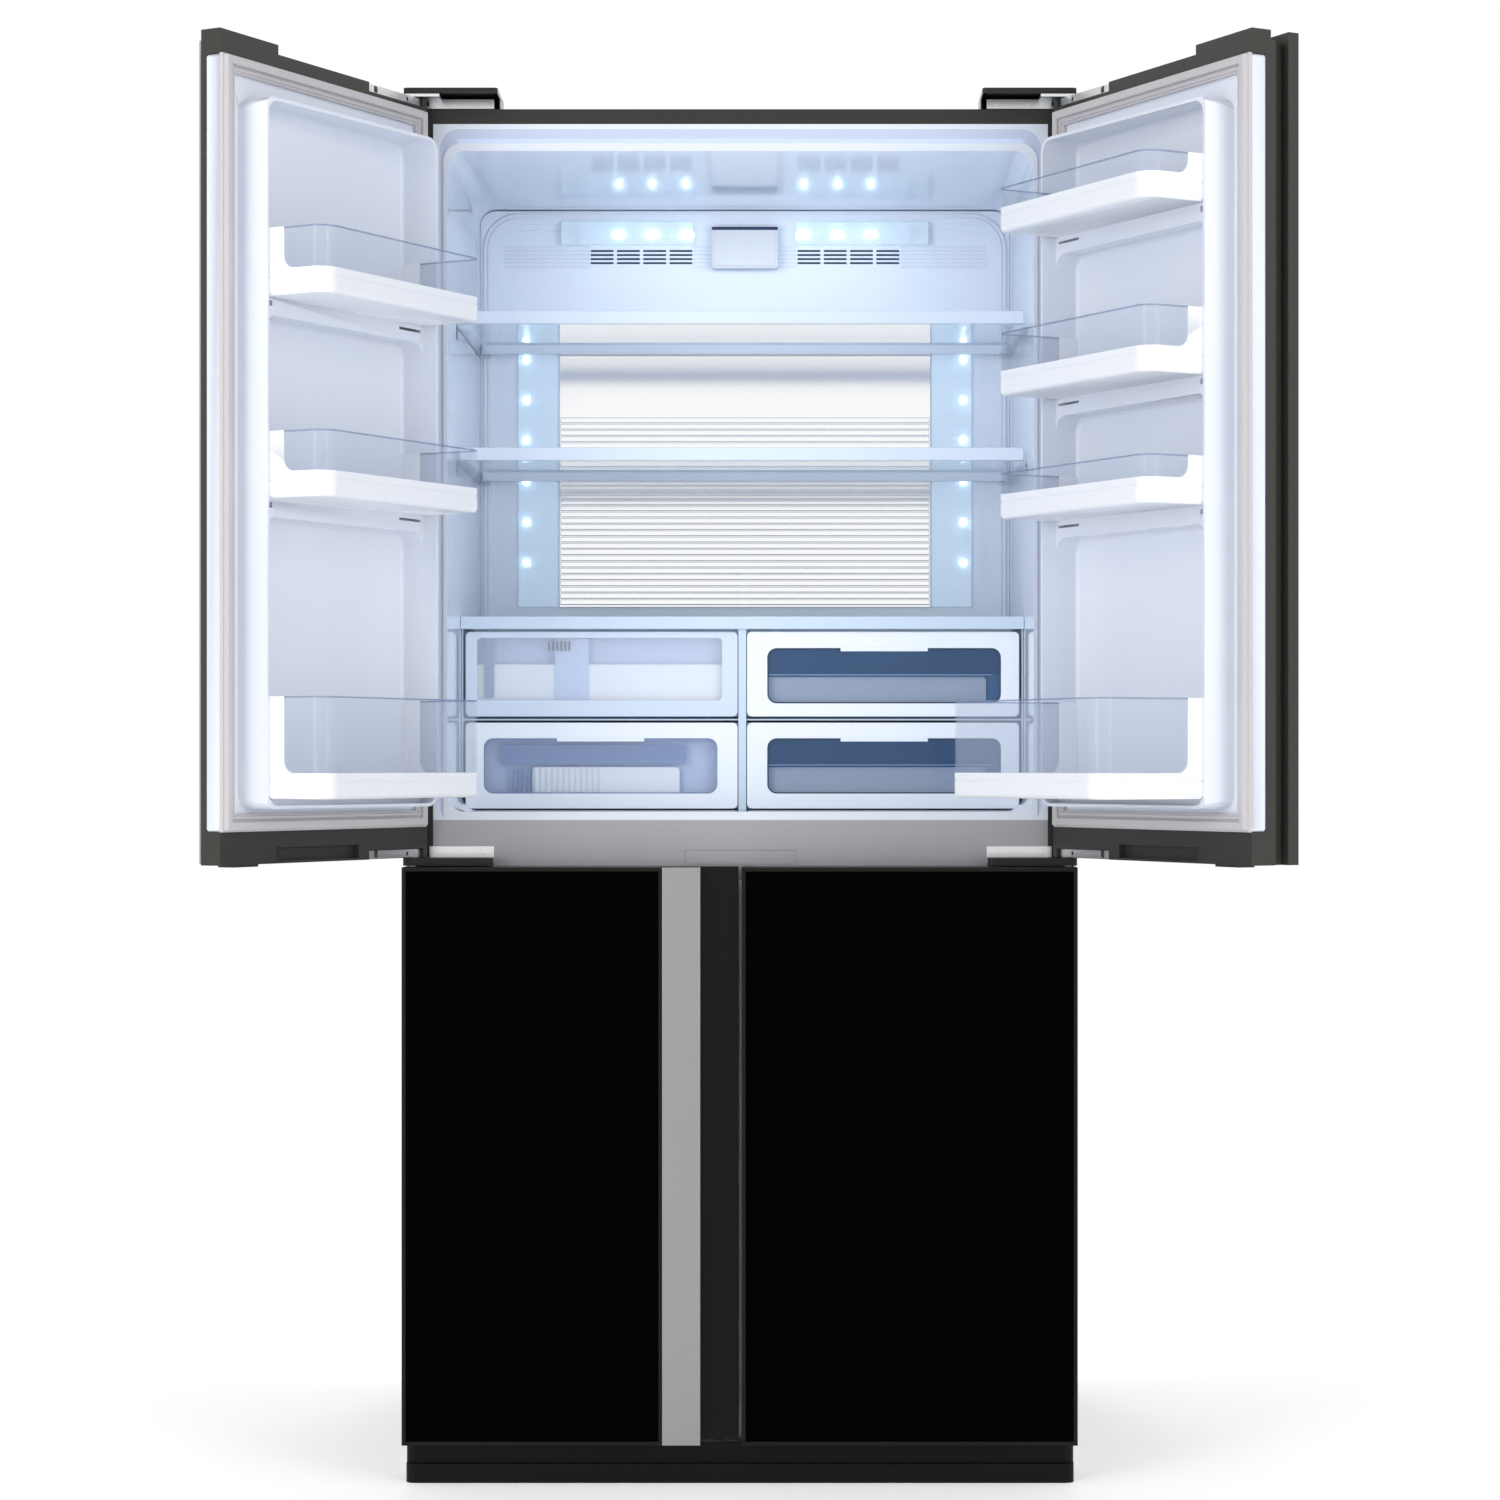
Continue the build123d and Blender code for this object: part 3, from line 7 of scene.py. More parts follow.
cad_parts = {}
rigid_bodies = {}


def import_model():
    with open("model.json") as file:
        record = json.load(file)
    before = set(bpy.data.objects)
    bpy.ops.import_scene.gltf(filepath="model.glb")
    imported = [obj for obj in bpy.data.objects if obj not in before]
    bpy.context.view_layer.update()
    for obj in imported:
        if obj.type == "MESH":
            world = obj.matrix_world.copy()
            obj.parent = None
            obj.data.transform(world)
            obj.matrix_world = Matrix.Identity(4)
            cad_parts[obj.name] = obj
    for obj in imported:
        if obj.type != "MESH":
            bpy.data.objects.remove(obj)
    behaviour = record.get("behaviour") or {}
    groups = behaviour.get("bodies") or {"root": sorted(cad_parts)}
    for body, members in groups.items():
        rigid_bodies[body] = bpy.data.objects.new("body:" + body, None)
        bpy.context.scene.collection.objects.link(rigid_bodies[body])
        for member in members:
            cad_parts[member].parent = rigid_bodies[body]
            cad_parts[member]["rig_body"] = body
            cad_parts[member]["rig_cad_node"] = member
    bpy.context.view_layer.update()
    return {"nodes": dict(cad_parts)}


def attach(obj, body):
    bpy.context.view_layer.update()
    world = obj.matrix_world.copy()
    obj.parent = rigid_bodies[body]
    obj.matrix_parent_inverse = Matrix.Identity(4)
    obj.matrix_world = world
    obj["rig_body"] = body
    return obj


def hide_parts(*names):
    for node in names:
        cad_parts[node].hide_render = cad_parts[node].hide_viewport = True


# Four-door refrigerator, upper doors open. The frame is in metres: x to the right, y to the rear, z up.
# Sizes below are in millimetres, and toMetres turns them.

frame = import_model()
nodes = frame["nodes"]
print("stage: frame loaded,", len(nodes), "nodes")

hinge = {"x": 435.4, "y": -27.9, "openDegrees": 118.6}


# Helpers for modelling

def toMetres(values):
    return [value / 1000 for value in values]


def pickNone():
    bpy.ops.object.select_all(action="DESELECT")


def pickOnly(piece):
    pickNone()
    piece.select_set(True)
    bpy.context.view_layer.objects.active = piece


def applyPlace(piece):
    pickOnly(piece)
    bpy.ops.object.transform_apply(location=True, rotation=True, scale=True)


def applyModifier(piece, kind, **settings):
    pickOnly(piece)
    modifier = piece.modifiers.new(kind.title(), kind)
    for key, value in settings.items():
        setattr(modifier, key, value)
    bpy.ops.object.modifier_apply(modifier=modifier.name)


def smoothByAngle(piece, degrees=35):
    pickOnly(piece)
    bpy.ops.object.shade_smooth_by_angle(angle=math.radians(degrees))


# A block between two corners, in millimetres
def addBlock(name, x0, x1, y0, y1, z0, z1):
    pickNone()
    middle = toMetres(((x0 + x1) / 2, (y0 + y1) / 2, (z0 + z1) / 2))
    bpy.ops.mesh.primitive_cube_add(size=1, location=middle)
    piece = bpy.context.object
    piece.name = name
    piece.scale = toMetres((x1 - x0, y1 - y0, z1 - z0))
    applyPlace(piece)
    return piece


def addRod(name, start, direction, radius, length, sides=32):
    pickNone()
    way = Vector(direction).normalized()
    middle = Vector(toMetres(start)) + way * (length / 2000)
    turn = way.to_track_quat("Z", "Y").to_euler()
    bpy.ops.mesh.primitive_cylinder_add(
        vertices=sides, radius=radius / 1000, depth=length / 1000, location=middle, rotation=turn
    )
    piece = bpy.context.object
    piece.name = name
    applyPlace(piece)
    return piece


def openEdit(piece, mode):
    pickOnly(piece)
    bpy.ops.object.mode_set(mode="EDIT")
    bpy.ops.mesh.select_mode(type=mode)
    bpy.ops.mesh.select_all(action="DESELECT")
    return bmesh.from_edit_mesh(piece.data)


def closeEdit():
    bpy.ops.object.mode_set(mode="OBJECT")


# Selects the faces whose centre (mm) and normal pass the test, in edit mode
def pickFaces(piece, test):
    mesh = openEdit(piece, "FACE")
    for face in mesh.faces:
        face.select_set(bool(test(face.calc_center_median() * 1000, face.normal)))
    bmesh.update_edit_mesh(piece.data)


# Selects the edges whose two ends (mm) pass the test, in edit mode
def pickEdges(piece, test):
    mesh = openEdit(piece, "EDGE")
    for edge in mesh.edges:
        ends = [vert.co * 1000 for vert in edge.verts]
        edge.select_set(bool(test(ends[0], ends[1])))
    bmesh.update_edit_mesh(piece.data)


def bevelEdges(piece, test, width, segments):
    pickEdges(piece, test)
    bpy.ops.mesh.bevel(offset=width / 1000, offset_type="OFFSET", segments=segments, affect="EDGES")
    closeEdit()


# Rounds the edges that run along one axis and pass an extra test
def roundAlong(piece, axis, width, segments, test=lambda a, b: True):
    others = [index for index in range(3) if index != axis]

    def along(a, b):
        return all(abs(a[index] - b[index]) < 0.01 for index in others) and test(a, b)
    bevelEdges(piece, along, width, segments)


# Keeps wide faces flat where narrow bevels meet them
def settleNormals(piece):
    applyModifier(piece, "WEIGHTED_NORMAL", keep_sharp=True)


def softEdges(piece, width=0.6, segments=2, degrees=35):
    applyModifier(
        piece, "BEVEL", width=width / 1000, segments=segments, limit_method="ANGLE",
        angle_limit=math.radians(degrees), harden_normals=False, use_clamp_overlap=True
    )
    smoothByAngle(piece, degrees)


# Cuts another piece out of this one, or joins it on, and deletes the other
def combine(piece, other, operation):
    applyModifier(piece, "BOOLEAN", object=other, operation=operation, solver="EXACT")
    pickOnly(other)
    bpy.ops.object.delete()
    return piece


def carve(piece, *others):
    for other in others:
        combine(piece, other, "DIFFERENCE")
    return piece


def unite(piece, *others):
    for other in others:
        combine(piece, other, "UNION")
    return piece


# Steps a face in by insets and up or down by moves along one axis: pairs of inset and move
def stepFace(piece, test, steps, axis):
    pickFaces(piece, test)
    for inset, rise in steps:
        if inset:
            bpy.ops.mesh.inset(thickness=inset / 1000, use_even_offset=True)
        if rise:
            move = [0, 0, 0]
            move[axis] = rise / 1000
            bpy.ops.mesh.extrude_region_move(TRANSFORM_OT_translate={"value": move})
    closeEdit()


# Cuts a piece with a plane; the side that the normal points to goes if it is cleared
def cutPlane(piece, point, normal, clear=True):
    openEdit(piece, "VERT")
    bpy.ops.mesh.select_all(action="SELECT")
    way = Vector(normal).normalized()
    bpy.ops.mesh.bisect(plane_co=toMetres(point), plane_no=way, use_fill=clear, clear_outer=clear)
    closeEdit()


def deleteFaces(piece, test):
    pickFaces(piece, test)
    bpy.ops.mesh.delete(type="FACE")
    closeEdit()


# A block with the four edges along one axis rounded
def addRounded(name, x0, x1, y0, y1, z0, z1, axis, radius, segments=8):
    piece = addBlock(name, x0, x1, y0, y1, z0, z1)
    roundAlong(piece, axis, radius, segments)
    return piece


def joinPieces(name, pieces):
    pickNone()
    for piece in pieces:
        piece.select_set(True)
    bpy.context.view_layer.objects.active = pieces[0]
    if len(pieces) > 1:
        bpy.ops.object.join()
    piece = bpy.context.view_layer.objects.active
    piece.name = name
    return piece


# Turns a piece made on the right side into its mirror image on the left
def flipToLeft(piece):
    piece.data.transform(Matrix.Diagonal((-1, 1, 1, 1)))
    piece.data.flip_normals()
    return piece


# Merged copy of a CAD node with softened edges, shown in the node's place
def softenNode(node, body, material, width=0.8, segments=2):
    piece = nodes[node].copy()
    piece.data = nodes[node].data.copy()
    bpy.context.scene.collection.objects.link(piece)
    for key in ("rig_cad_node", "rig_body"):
        if key in piece:
            del piece[key]
    piece.parent = None
    piece.name = node + "_soft"
    openEdit(piece, "VERT")
    bpy.ops.mesh.select_all(action="SELECT")
    bpy.ops.mesh.remove_doubles(threshold=0.00001)
    bpy.ops.mesh.dissolve_limited(angle_limit=math.radians(0.5))
    closeEdit()
    softEdges(piece, width, segments)
    return finishPiece(piece, material, body, [node])


def dress(piece, material):
    piece.data.materials.clear()
    piece.data.materials.append(material)
    return piece


# Closed, right-hand door drawing to its place on the open or closed door
def hangOnDoor(piece, side, isOpen):
    if side < 0:
        flipToLeft(piece)
    if isOpen:
        pivot = Vector(toMetres((side * hinge["x"], hinge["y"], 0)))
        turn = Matrix.Rotation(math.radians(side * hinge["openDegrees"]), 4, "Z")
        piece.data.transform(Matrix.Translation(pivot) @ turn @ Matrix.Translation(-pivot))
    level = "upper" if isOpen else "lower"
    hand = "right" if side > 0 else "left"
    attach(piece, f"{level}_{hand}_door")
    return piece


# Materials

def linear(hexColour, alpha=1.0):
    parts = [int(hexColour[i:i + 2], 16) / 255 for i in (1, 3, 5)]
    return [p / 12.92 if p <= 0.04045 else ((p + 0.055) / 1.055) ** 2.4 for p in parts] + [alpha]


def addNode(tree, kind, settings=None, links=None):
    node = tree.nodes.new(kind)
    for key, value in (settings or {}).items():
        if key in node.inputs:
            node.inputs[key].default_value = value
        else:
            setattr(node, key, value)
    for key, source in (links or {}).items():
        tree.links.new(source, node.inputs[key])
    return node


# Grain in the object's own coordinates: size and height in millimetres, spread of the roughness, stretch
def addGrain(tree, shader, roughness, size, height, spread=None, stretch=(1, 1, 1)):
    place = addNode(tree, "ShaderNodeTexCoord")
    mapping = addNode(tree, "ShaderNodeMapping", {"Scale": stretch}, {"Vector": place.outputs["Object"]})
    noise = addNode(
        tree, "ShaderNodeTexNoise", {"Scale": 1000 / size, "Detail": 2.0}, {"Vector": mapping.outputs["Vector"]}
    )
    bump = addNode(
        tree, "ShaderNodeBump", {"Strength": 1.0, "Distance": height / 1000}, {"Height": noise.outputs["Fac"]}
    )
    tree.links.new(bump.outputs["Normal"], shader.inputs["Normal"])
    if spread is not None:
        limits = {"To Min": max(roughness - spread, 0.0), "To Max": roughness + spread}
        uneven = addNode(tree, "ShaderNodeMapRange", limits, {"Value": noise.outputs["Fac"]})
        tree.links.new(uneven.outputs["Result"], shader.inputs["Roughness"])


# Slow colour change between two tones, as uneven moulding gives
def addTones(tree, shader, first, second, size):
    place = addNode(tree, "ShaderNodeTexCoord")
    noise = addNode(
        tree, "ShaderNodeTexNoise", {"Scale": 1000 / size, "Detail": 1.0}, {"Vector": place.outputs["Object"]}
    )
    mix = addNode(tree, "ShaderNodeMix", {"data_type": "RGBA"}, {"Factor": noise.outputs["Fac"]})
    mix.inputs[6].default_value = linear(first)
    mix.inputs[7].default_value = linear(second)
    tree.links.new(mix.outputs[2], shader.inputs["Base Color"])


def newMaterial(name, hexColour, grain=None, tones=None, **settings):
    material = bpy.data.materials.new(name)
    material.use_nodes = True
    tree = material.node_tree
    shader = tree.nodes["Principled BSDF"]
    shader.inputs["Base Color"].default_value = linear(hexColour)
    for key, value in settings.items():
        shader.inputs[key.replace("_", " ")].default_value = value
    if grain:
        addGrain(tree, shader, settings["Roughness"], *grain)
    if tones:
        addTones(tree, shader, *tones)
    return material


# Gives 1 where the camera, a reflection or a clear pane sees the surface, and 0 for the light it casts
def addSeenMask(tree):
    path = addNode(tree, "ShaderNodeLightPath")
    rays = [path.outputs[f"Is {kind} Ray"] for kind in ("Camera", "Glossy", "Transmission")]
    seen = addNode(tree, "ShaderNodeMath", {"operation": "MAXIMUM"}, {0: rays[0], 1: rays[1]})
    return addNode(tree, "ShaderNodeMath", {"operation": "MAXIMUM"}, {0: seen.outputs[0], 1: rays[2]}).outputs[0]


# High-impact polystyrene, vacuum formed: glossy with a faint orange peel
liner = newMaterial(
    "linerPolystyreneFormed", "#E2E9F5", Roughness=0.09, IOR=1.55,
    grain=(9.0, 0.004), tones=("#DFE7F5", "#E6ECF6", 400.0)
)

# The same sheet on the doors, a little whiter
doorLinerSheet = newMaterial(
    "doorLinerPolystyreneFormed", "#E4E9F5", Roughness=0.24, IOR=1.55,
    grain=(6.0, 0.012), tones=("#E0E6F3", "#E7ECF6", 350.0)
)

# Painted steel strip that the gaskets' magnets grip; its blue-grey colour is partly painted shade, the shade on the
# sunk band of the flange
bandSteelAndShade = newMaterial("bandSteelPaintedAndShaded", "#C6D0E9", Roughness=0.3, Specular_IOR_Level=0.4, grain=(1.6, 0.01))

# ABS of the crisper frame, with a faint blue tone
frameWhiteAbs = newMaterial("crisperFrameAbsMoulded", "#CCDAE9", Roughness=0.22, IOR=1.53, grain=(8.0, 0.01))

# ABS, injection moulded, polished white
whiteAbs = newMaterial("whiteAbsMoulded", "#F1F4FA", Roughness=0.22, IOR=1.53, grain=(8.0, 0.01))

# General purpose polystyrene, clear and polished: bins, brackets
clearStyrene = newMaterial("clearPolystyreneMoulded", "#BAC7DF", Roughness=0.04, IOR=1.59, Alpha=0.14)

# The same styrene at cut edges, darker and denser: painted shade for the dark line that the clear wall shows where
# the eye looks along it
rimStyrene = newMaterial("clearPolystyreneEdge", "#7F90B8", Roughness=0.08, IOR=1.59, Alpha=0.5)

# Clear polystyrene with a faint blue tone, for crisper tubs
tubStyrene = newMaterial("tubPolystyreneMoulded", "#CBDAF0", Roughness=0.12, IOR=1.59, Alpha=0.32)

# Float glass, toughened, for the shelves
shelfGlass = newMaterial("shelfGlassToughened", "#C7DFEE", Roughness=0.02, IOR=1.52, Alpha=0.2)

# Translucent white polystyrene, moulded: shelf trims that glow at the edge
trimStyrene = newMaterial("trimPolystyreneMoulded", "#D3DDEB", Roughness=0.2, IOR=1.59)

# Smoked blue polystyrene: window outline, bar and dark ribs of the left crispers
smokedBlue = newMaterial("smokedBluePolystyrene", "#93A8CE", Roughness=0.05, IOR=1.59, Alpha=0.6)

# The bluer panes of the right crispers
smokedDark = newMaterial("smokedNavyPolystyrene", "#3F6C9C", Roughness=0.06, IOR=1.59, Alpha=0.27)

# Navy polystyrene: outline of the right crispers' windows, and an opaque plate behind the upper part of those panes
# that is painted shade, standing in for the shade inside the tub
navyTrimAndShade = newMaterial("navyPolystyreneTrimAndShade", "#152A45", Roughness=0.35, IOR=1.59, grain=(9.0, 0.004))

# Mid blue end walls of the right crispers
smokedEnd = newMaterial("smokedEndPolystyrene", "#4A6C94", Roughness=0.25, IOR=1.59, grain=(9.0, 0.004))

# Blue-grey polystyrene of the walls deeper inside the crispers
backStyrene = newMaterial("blueGreyPolystyreneMoulded", "#C6D4F0", Roughness=0.3, IOR=1.59, grain=(5.0, 0.01))

# Pale blue pane of the lower left crisper
paleStyrene = newMaterial("paleBluePolystyrene", "#B9C8E8", Roughness=0.05, IOR=1.59, Alpha=0.1)

# Frosted polystyrene with a fine eroded face: lets light through and hides what is behind it
frostedStyrene = newMaterial(
    "frostedPolystyreneEroded", "#E6ECF8", Roughness=0.3, IOR=1.59, Alpha=0.2, grain=(1.2, 0.01)
)

# Milky polystyrene of the inner walls and ribs of the crispers
innerStyrene = newMaterial("milkyPolystyreneMoulded", "#FAFCFF", Roughness=0.3, IOR=1.59, grain=(5.0, 0.01))

# Painted shade: a dark sheet behind the air slots, standing in for the shadow inside them
slotShade = newMaterial("slotPaintedShadeDark", "#3C4458", Roughness=0.7, grain=(2.0, 0.05))

# Vacuum-metallised polystyrene: a mirror with slightly soft reflections
mirrorPanel = newMaterial("mirrorPolystyreneMetallised", "#FAFAFB", Roughness=0.12, Metallic=1.0)

# Black ABS with a fine eroded grain: hinge covers and the crisper vent
blackAbs = newMaterial(
    "blackAbsGrained", "#232321", Roughness=0.42, Specular_IOR_Level=0.25, grain=(0.9, 0.02, 0.06)
)

# Pre-painted steel of the case
caseSteel = newMaterial(
    "caseSteelPrepainted", "#2C2C2A", Roughness=0.38, Specular_IOR_Level=0.3, grain=(1.6, 0.015, 0.06)
)

# Door frames: dark grey ABS, satin
frameAbs = newMaterial(
    "doorFrameAbsSatin", "#363633", Roughness=0.35, Specular_IOR_Level=0.3, grain=(1.2, 0.012, 0.06)
)

# The door frame ABS in a darker copy for the lower doors: painted shade, standing in for the shade in the pockets
# beside their handle strips
lowerFrameAbsShaded = newMaterial(
    "doorFrameAbsBlack", "#12130F", Roughness=0.35, Specular_IOR_Level=0.15, grain=(1.2, 0.012, 0.06)
)

# Toughened glass, back-painted black
blackGlass = newMaterial("blackGlassBackPainted", "#020202", Roughness=0.04, IOR=1.5, Specular_IOR_Level=0.01)

# Anodised aluminium, brushed along the strip
stripAluminium = newMaterial(
    "stripAluminiumBrushed", "#9C9C9D", Roughness=0.34, Metallic=1.0, grain=(0.5, 0.01, 0.06, (1, 1, 0.01))
)

# Laminated steel of the centre frame: satin grey with a fine cross grain
centreSteel = newMaterial(
    "centreFrameLaminatedSteel", "#A4A3A8", Roughness=0.38, Metallic=0.3, grain=(0.5, 0.008, 0.06, (0.02, 1, 1))
)

# Zinc-plated pressed steel: hinges, base, rear sheets
zincSteel = newMaterial("zincPlatedSteel", "#DCDDDE", Roughness=0.32, Metallic=1.0, grain=(3.0, 0.01, 0.1))

# Soft PVC of the magnetic gaskets
gasketPvc = newMaterial("gasketSoftPvc", "#C6C3C6", Roughness=0.5, IOR=1.52, grain=(1.5, 0.01))

# Silver painted ABS
silverAbs = newMaterial("silverAbsPainted", "#D5D9DF", Roughness=0.32, Metallic=0.25, grain=(0.8, 0.01))

# Light diffuser of clear styrene with the lamps on behind it
diffuser = newMaterial(
    "diffuserPolystyreneLit", "#DFEAF3", Roughness=0.15, IOR=1.59, Alpha=0.42,
    Emission_Color=linear("#CDE8FB"), Emission_Strength=0.25
)

# Light chips of the lamps
lampChip = newMaterial(
    "lampChipLit", "#FFFFFF", Roughness=0.3, Emission_Color=linear("#DDF2FF"), Emission_Strength=9.0
)

# Soft glow of the lamp on its white reflector
lampGlow = newMaterial(
    "lampReflectorLit", "#EAF6FF", Roughness=0.4, Emission_Color=linear("#C8ECFF"), Emission_Strength=0.5
)

# Black ABS of the plinth, a finer and darker grain
plinthAbs = newMaterial(
    "plinthAbsGrained", "#0B0D0A", Roughness=0.45, Specular_IOR_Level=0.12, grain=(1.2, 0.02, 0.06)
)

# Navy translucent strip along the ionizer's top
navyStyrene = newMaterial("navyPolystyreneMoulded", "#1C2A4C", Roughness=0.2, IOR=1.59, grain=(2.0, 0.01))

# Glass-fibre board
boardFr4 = newMaterial("circuitBoardGlassFibre", "#DCE7EF", Roughness=0.4, IOR=1.5, grain=(1.0, 0.01))

# Compressor enamel
compressorEnamel = newMaterial("compressorEnamelBlack", "#161616", Roughness=0.3, IOR=1.5, grain=(2.5, 0.03))

# Rolled aluminium fins
finAluminium = newMaterial("finAluminiumRolled", "#C9CACB", Roughness=0.35, Metallic=1.0, grain=(2.0, 0.01))

# Grey polypropylene: tray, fans, rollers, feet
greyPolypropylene = newMaterial(
    "greyPolypropyleneMoulded", "#5B5D5F", Roughness=0.5, IOR=1.49, grain=(1.0, 0.02, 0.06)
)

# Polyurethane foam
foamPu = newMaterial("polyurethaneFoam", "#E7DBAF", Roughness=0.9, grain=(3.0, 0.4))

nodeMaterials = {
    "outer_case": caseSteel, "rear_panel": zincSteel, "cabinet_foam": foamPu, "fridge_liner": liner,
    "freezer_liner": liner, "centre_frame": centreSteel, "base_frame": zincSteel, "plinth": plinthAbs,
    "foot_left": greyPolypropylene, "foot_right": greyPolypropylene, "roller_left": greyPolypropylene,
    "roller_right": greyPolypropylene, "hinge_brackets": zincSteel, "hinge_covers": blackAbs,
    "shelf_panes": shelfGlass, "shelf_trims": trimStyrene, "shelf_brackets": clearStyrene, "duct_panel": liner,
    "cooling_panel": mirrorPanel, "light_covers": diffuser, "circuit_boards": boardFr4,
    "ionizer_box": silverAbs, "crisper_frame": frameWhiteAbs, "freezer_drawers": tubStyrene,
    "freezer_panel": liner, "evaporator": finAluminium, "defrost_heater": finAluminium,
    "evaporator_fan": greyPolypropylene, "compressor": compressorEnamel, "drip_tray": greyPolypropylene,
    "condenser": finAluminium, "condenser_fan": greyPolypropylene, "machine_cover": zincSteel,
    "left_bins": whiteAbs, "right_bins": whiteAbs, "left_bin_guards": clearStyrene,
    "right_bin_guards": clearStyrene, "egg_tray": clearStyrene,
    "crisper_lower_left": tubStyrene, "crisper_lower_right": tubStyrene,
    "crisper_upper_left": tubStyrene, "crisper_upper_right": tubStyrene,
}
partMaterials = {
    "shell": frameAbs, "glass": blackGlass, "liner": doorLinerSheet, "gasket": gasketPvc,
    "handle_strip": stripAluminium,
}
doors = ("upper_left", "upper_right", "lower_left", "lower_right")
for door in doors:
    for part, material in partMaterials.items():
        if f"{door}_{part}" in nodes:
            nodeMaterials[f"{door}_{part}"] = material
# Painted shade: the lower doors' frames take the darker copy of the frame ABS
nodeMaterials["lower_left_shell"] = nodeMaterials["lower_right_shell"] = lowerFrameAbsShaded
for node, material in nodeMaterials.items():
    dress(nodes[node], material)
print("stage: materials made,", len(bpy.data.materials))


# Gives a finished piece its body, its material and the nodes it stands for
def finishPiece(piece, material, body, replaced=()):
    settleNormals(piece)
    dress(piece, material)
    if body:
        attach(piece, body)
    if replaced:
        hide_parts(*replaced)
    return piece


# Bins of the upper doors: white tray with ends, clear guard

bins = {
    "wall": 2.5, "rim": 32.0, "start": 48.3, "stop": 385.7, "back": -11.7, "freeCorner": 24.4,
    "hingeCorner": 12.0, "freeEnd": 50.0, "hingeEnd": 18.3, "cut": 15.0, "grooveLow": 21.0, "grooveHigh": 23.0,
    "left": ((1526.0, 83.0, 113.0), (1278.0, 82.0, 113.0), (909.0, 126.0, 113.0)),
    "right": ((1642.0, 58.0, 113.0), (1430.0, 82.0, 113.0), (1270.0, 60.0, 113.0), (909.0, 124.0, 183.0)),
}


def roundBinCorners(piece):
    roundAlong(piece, 2, bins["freeCorner"], 10, lambda a, b: a.x < 60 and a.y > 60)
    roundAlong(piece, 2, bins["hingeCorner"], 6, lambda a, b: a.x > 380 and a.y > 60)


def makeTray(name, low, height, reach):
    u0, u1, y0, wall, rim, cut = (bins[key] for key in ("start", "stop", "back", "wall", "rim", "cut"))
    tray = addBlock(name, u0, u1, y0, reach, low, low + rim)
    roundBinCorners(tray)
    for level in (bins["grooveLow"], bins["grooveHigh"]):
        cutPlane(tray, (0, 0, low + level), (0, 0, 1), clear=False)
    grooveMiddle = low + (bins["grooveLow"] + bins["grooveHigh"]) / 2
    pickFaces(tray, lambda c, n: abs(c.z - grooveMiddle) < 0.3 and abs(n.z) < 0.1 and c.y > y0 + 1)
    bpy.ops.mesh.extrude_region_shrink_fatten(TRANSFORM_OT_shrink_fatten={"value": -0.0011})
    closeEdit()
    stepFace(tray, lambda c, n: n.z > 0.9 and c.z > low + rim - 0.1, [(wall, wall - rim)], 2)
    bevelEdges(tray, lambda a, b: max(a.z, b.z) < low + 0.1 and max(a.y, b.y) > y0 + 0.1, 6.0, 5)
    for u, depth in ((u0, bins["freeEnd"]), (u1 - wall, bins["hingeEnd"])):
        end = addBlock("binEnd", u, u + wall, y0, depth + cut, low + rim - 4, low + height)
        hollow = addRod("binCut", (u - 2, depth + cut, low + rim + cut), (1, 0, 0), cut, wall + 4, 48)
        cutLow = low + rim + cut
        above = addBlock("binCutAbove", u - 2, u + wall + 2, depth, depth + cut + 10, cutLow, low + height + 5)
        carve(end, hollow, above)
        unite(tray, end)
    softEdges(tray, 0.6, 2)
    return tray


def makeGuard(name, low, high, reach, skin):
    u0, u1, y0, wall = (bins[key] for key in ("start", "stop", "back", "wall"))
    guard = addBlock(name, u0 + skin, u1 - skin, y0, reach - skin, low, high)
    roundBinCorners(guard)
    deleteFaces(guard, lambda c, n: abs(n.z) > 0.9 or n.y < -0.9)
    applyModifier(guard, "SOLIDIFY", thickness=(wall - 2 * skin) / 1000, offset=-1)
    middle = (u0 + u1) / 2
    for x0, x1, depth in ((u0 - 5, middle, bins["freeEnd"]), (middle, u1 + 5, bins["hingeEnd"])):
        carve(guard, addBlock("guardCut", x0, x1, y0 - 5, depth + 0.3, low - 5, high + 5))
    softEdges(guard, 0.4, 2)
    return guard


for hand, side in (("left", -1), ("right", 1)):
    trays = [makeTray(f"tray{index}", *size) for index, size in enumerate(bins[hand])]
    tray = hangOnDoor(joinPieces(f"{hand}_bin_trays", trays), side, True)
    finishPiece(tray, whiteAbs, None, [f"{hand}_bins"])
    foot = bins["rim"]
    guards = [makeGuard("guard", low + foot, low + height - 2, reach, 0.15) for low, height, reach in bins[hand]]
    guard = hangOnDoor(joinPieces(f"{hand}_bin_clear_guards", guards), side, True)
    finishPiece(guard, clearStyrene, None, [f"{hand}_bin_guards"])
    # Top edges of the guards in the darker copy of the styrene: painted shade
    rims = [makeGuard("rim", low + height - 2, low + height, reach, 0.1) for low, height, reach in bins[hand]]
    rim = hangOnDoor(joinPieces(f"{hand}_bin_guard_rims", rims), side, True)
    finishPiece(rim, rimStyrene, None)
print("stage: bins made")


# Upper door liners: a seat for the gasket, a dyke with a narrow crest and one pocket above each bin ledge

doorLiner = {
    "seat": (2.5, 445.0, -32.0, -12.0, 868.8, 1819.4), "seatCorner": 5.0,
    "dyke": (38.0, 390.0, -14.0, 43.0, 897.0, 1771.0), "dykeCorner": 20.0,
    "crestFree": (44.0, 28.0), "crestHinge": (390.0, 43.0), "crestWidth": 4.0,
    "ledgeReach": 22.0, "ledgeHeight": 22.0, "pocketFloor": -12.0, "pocketCorner": 20.0, "pocketFillet": 6.0,
    "hookSlot": (332, 380, 6, 30, -9, -5.5), "hookNotch": (52, 62, 8, 30, -11, -4),
}


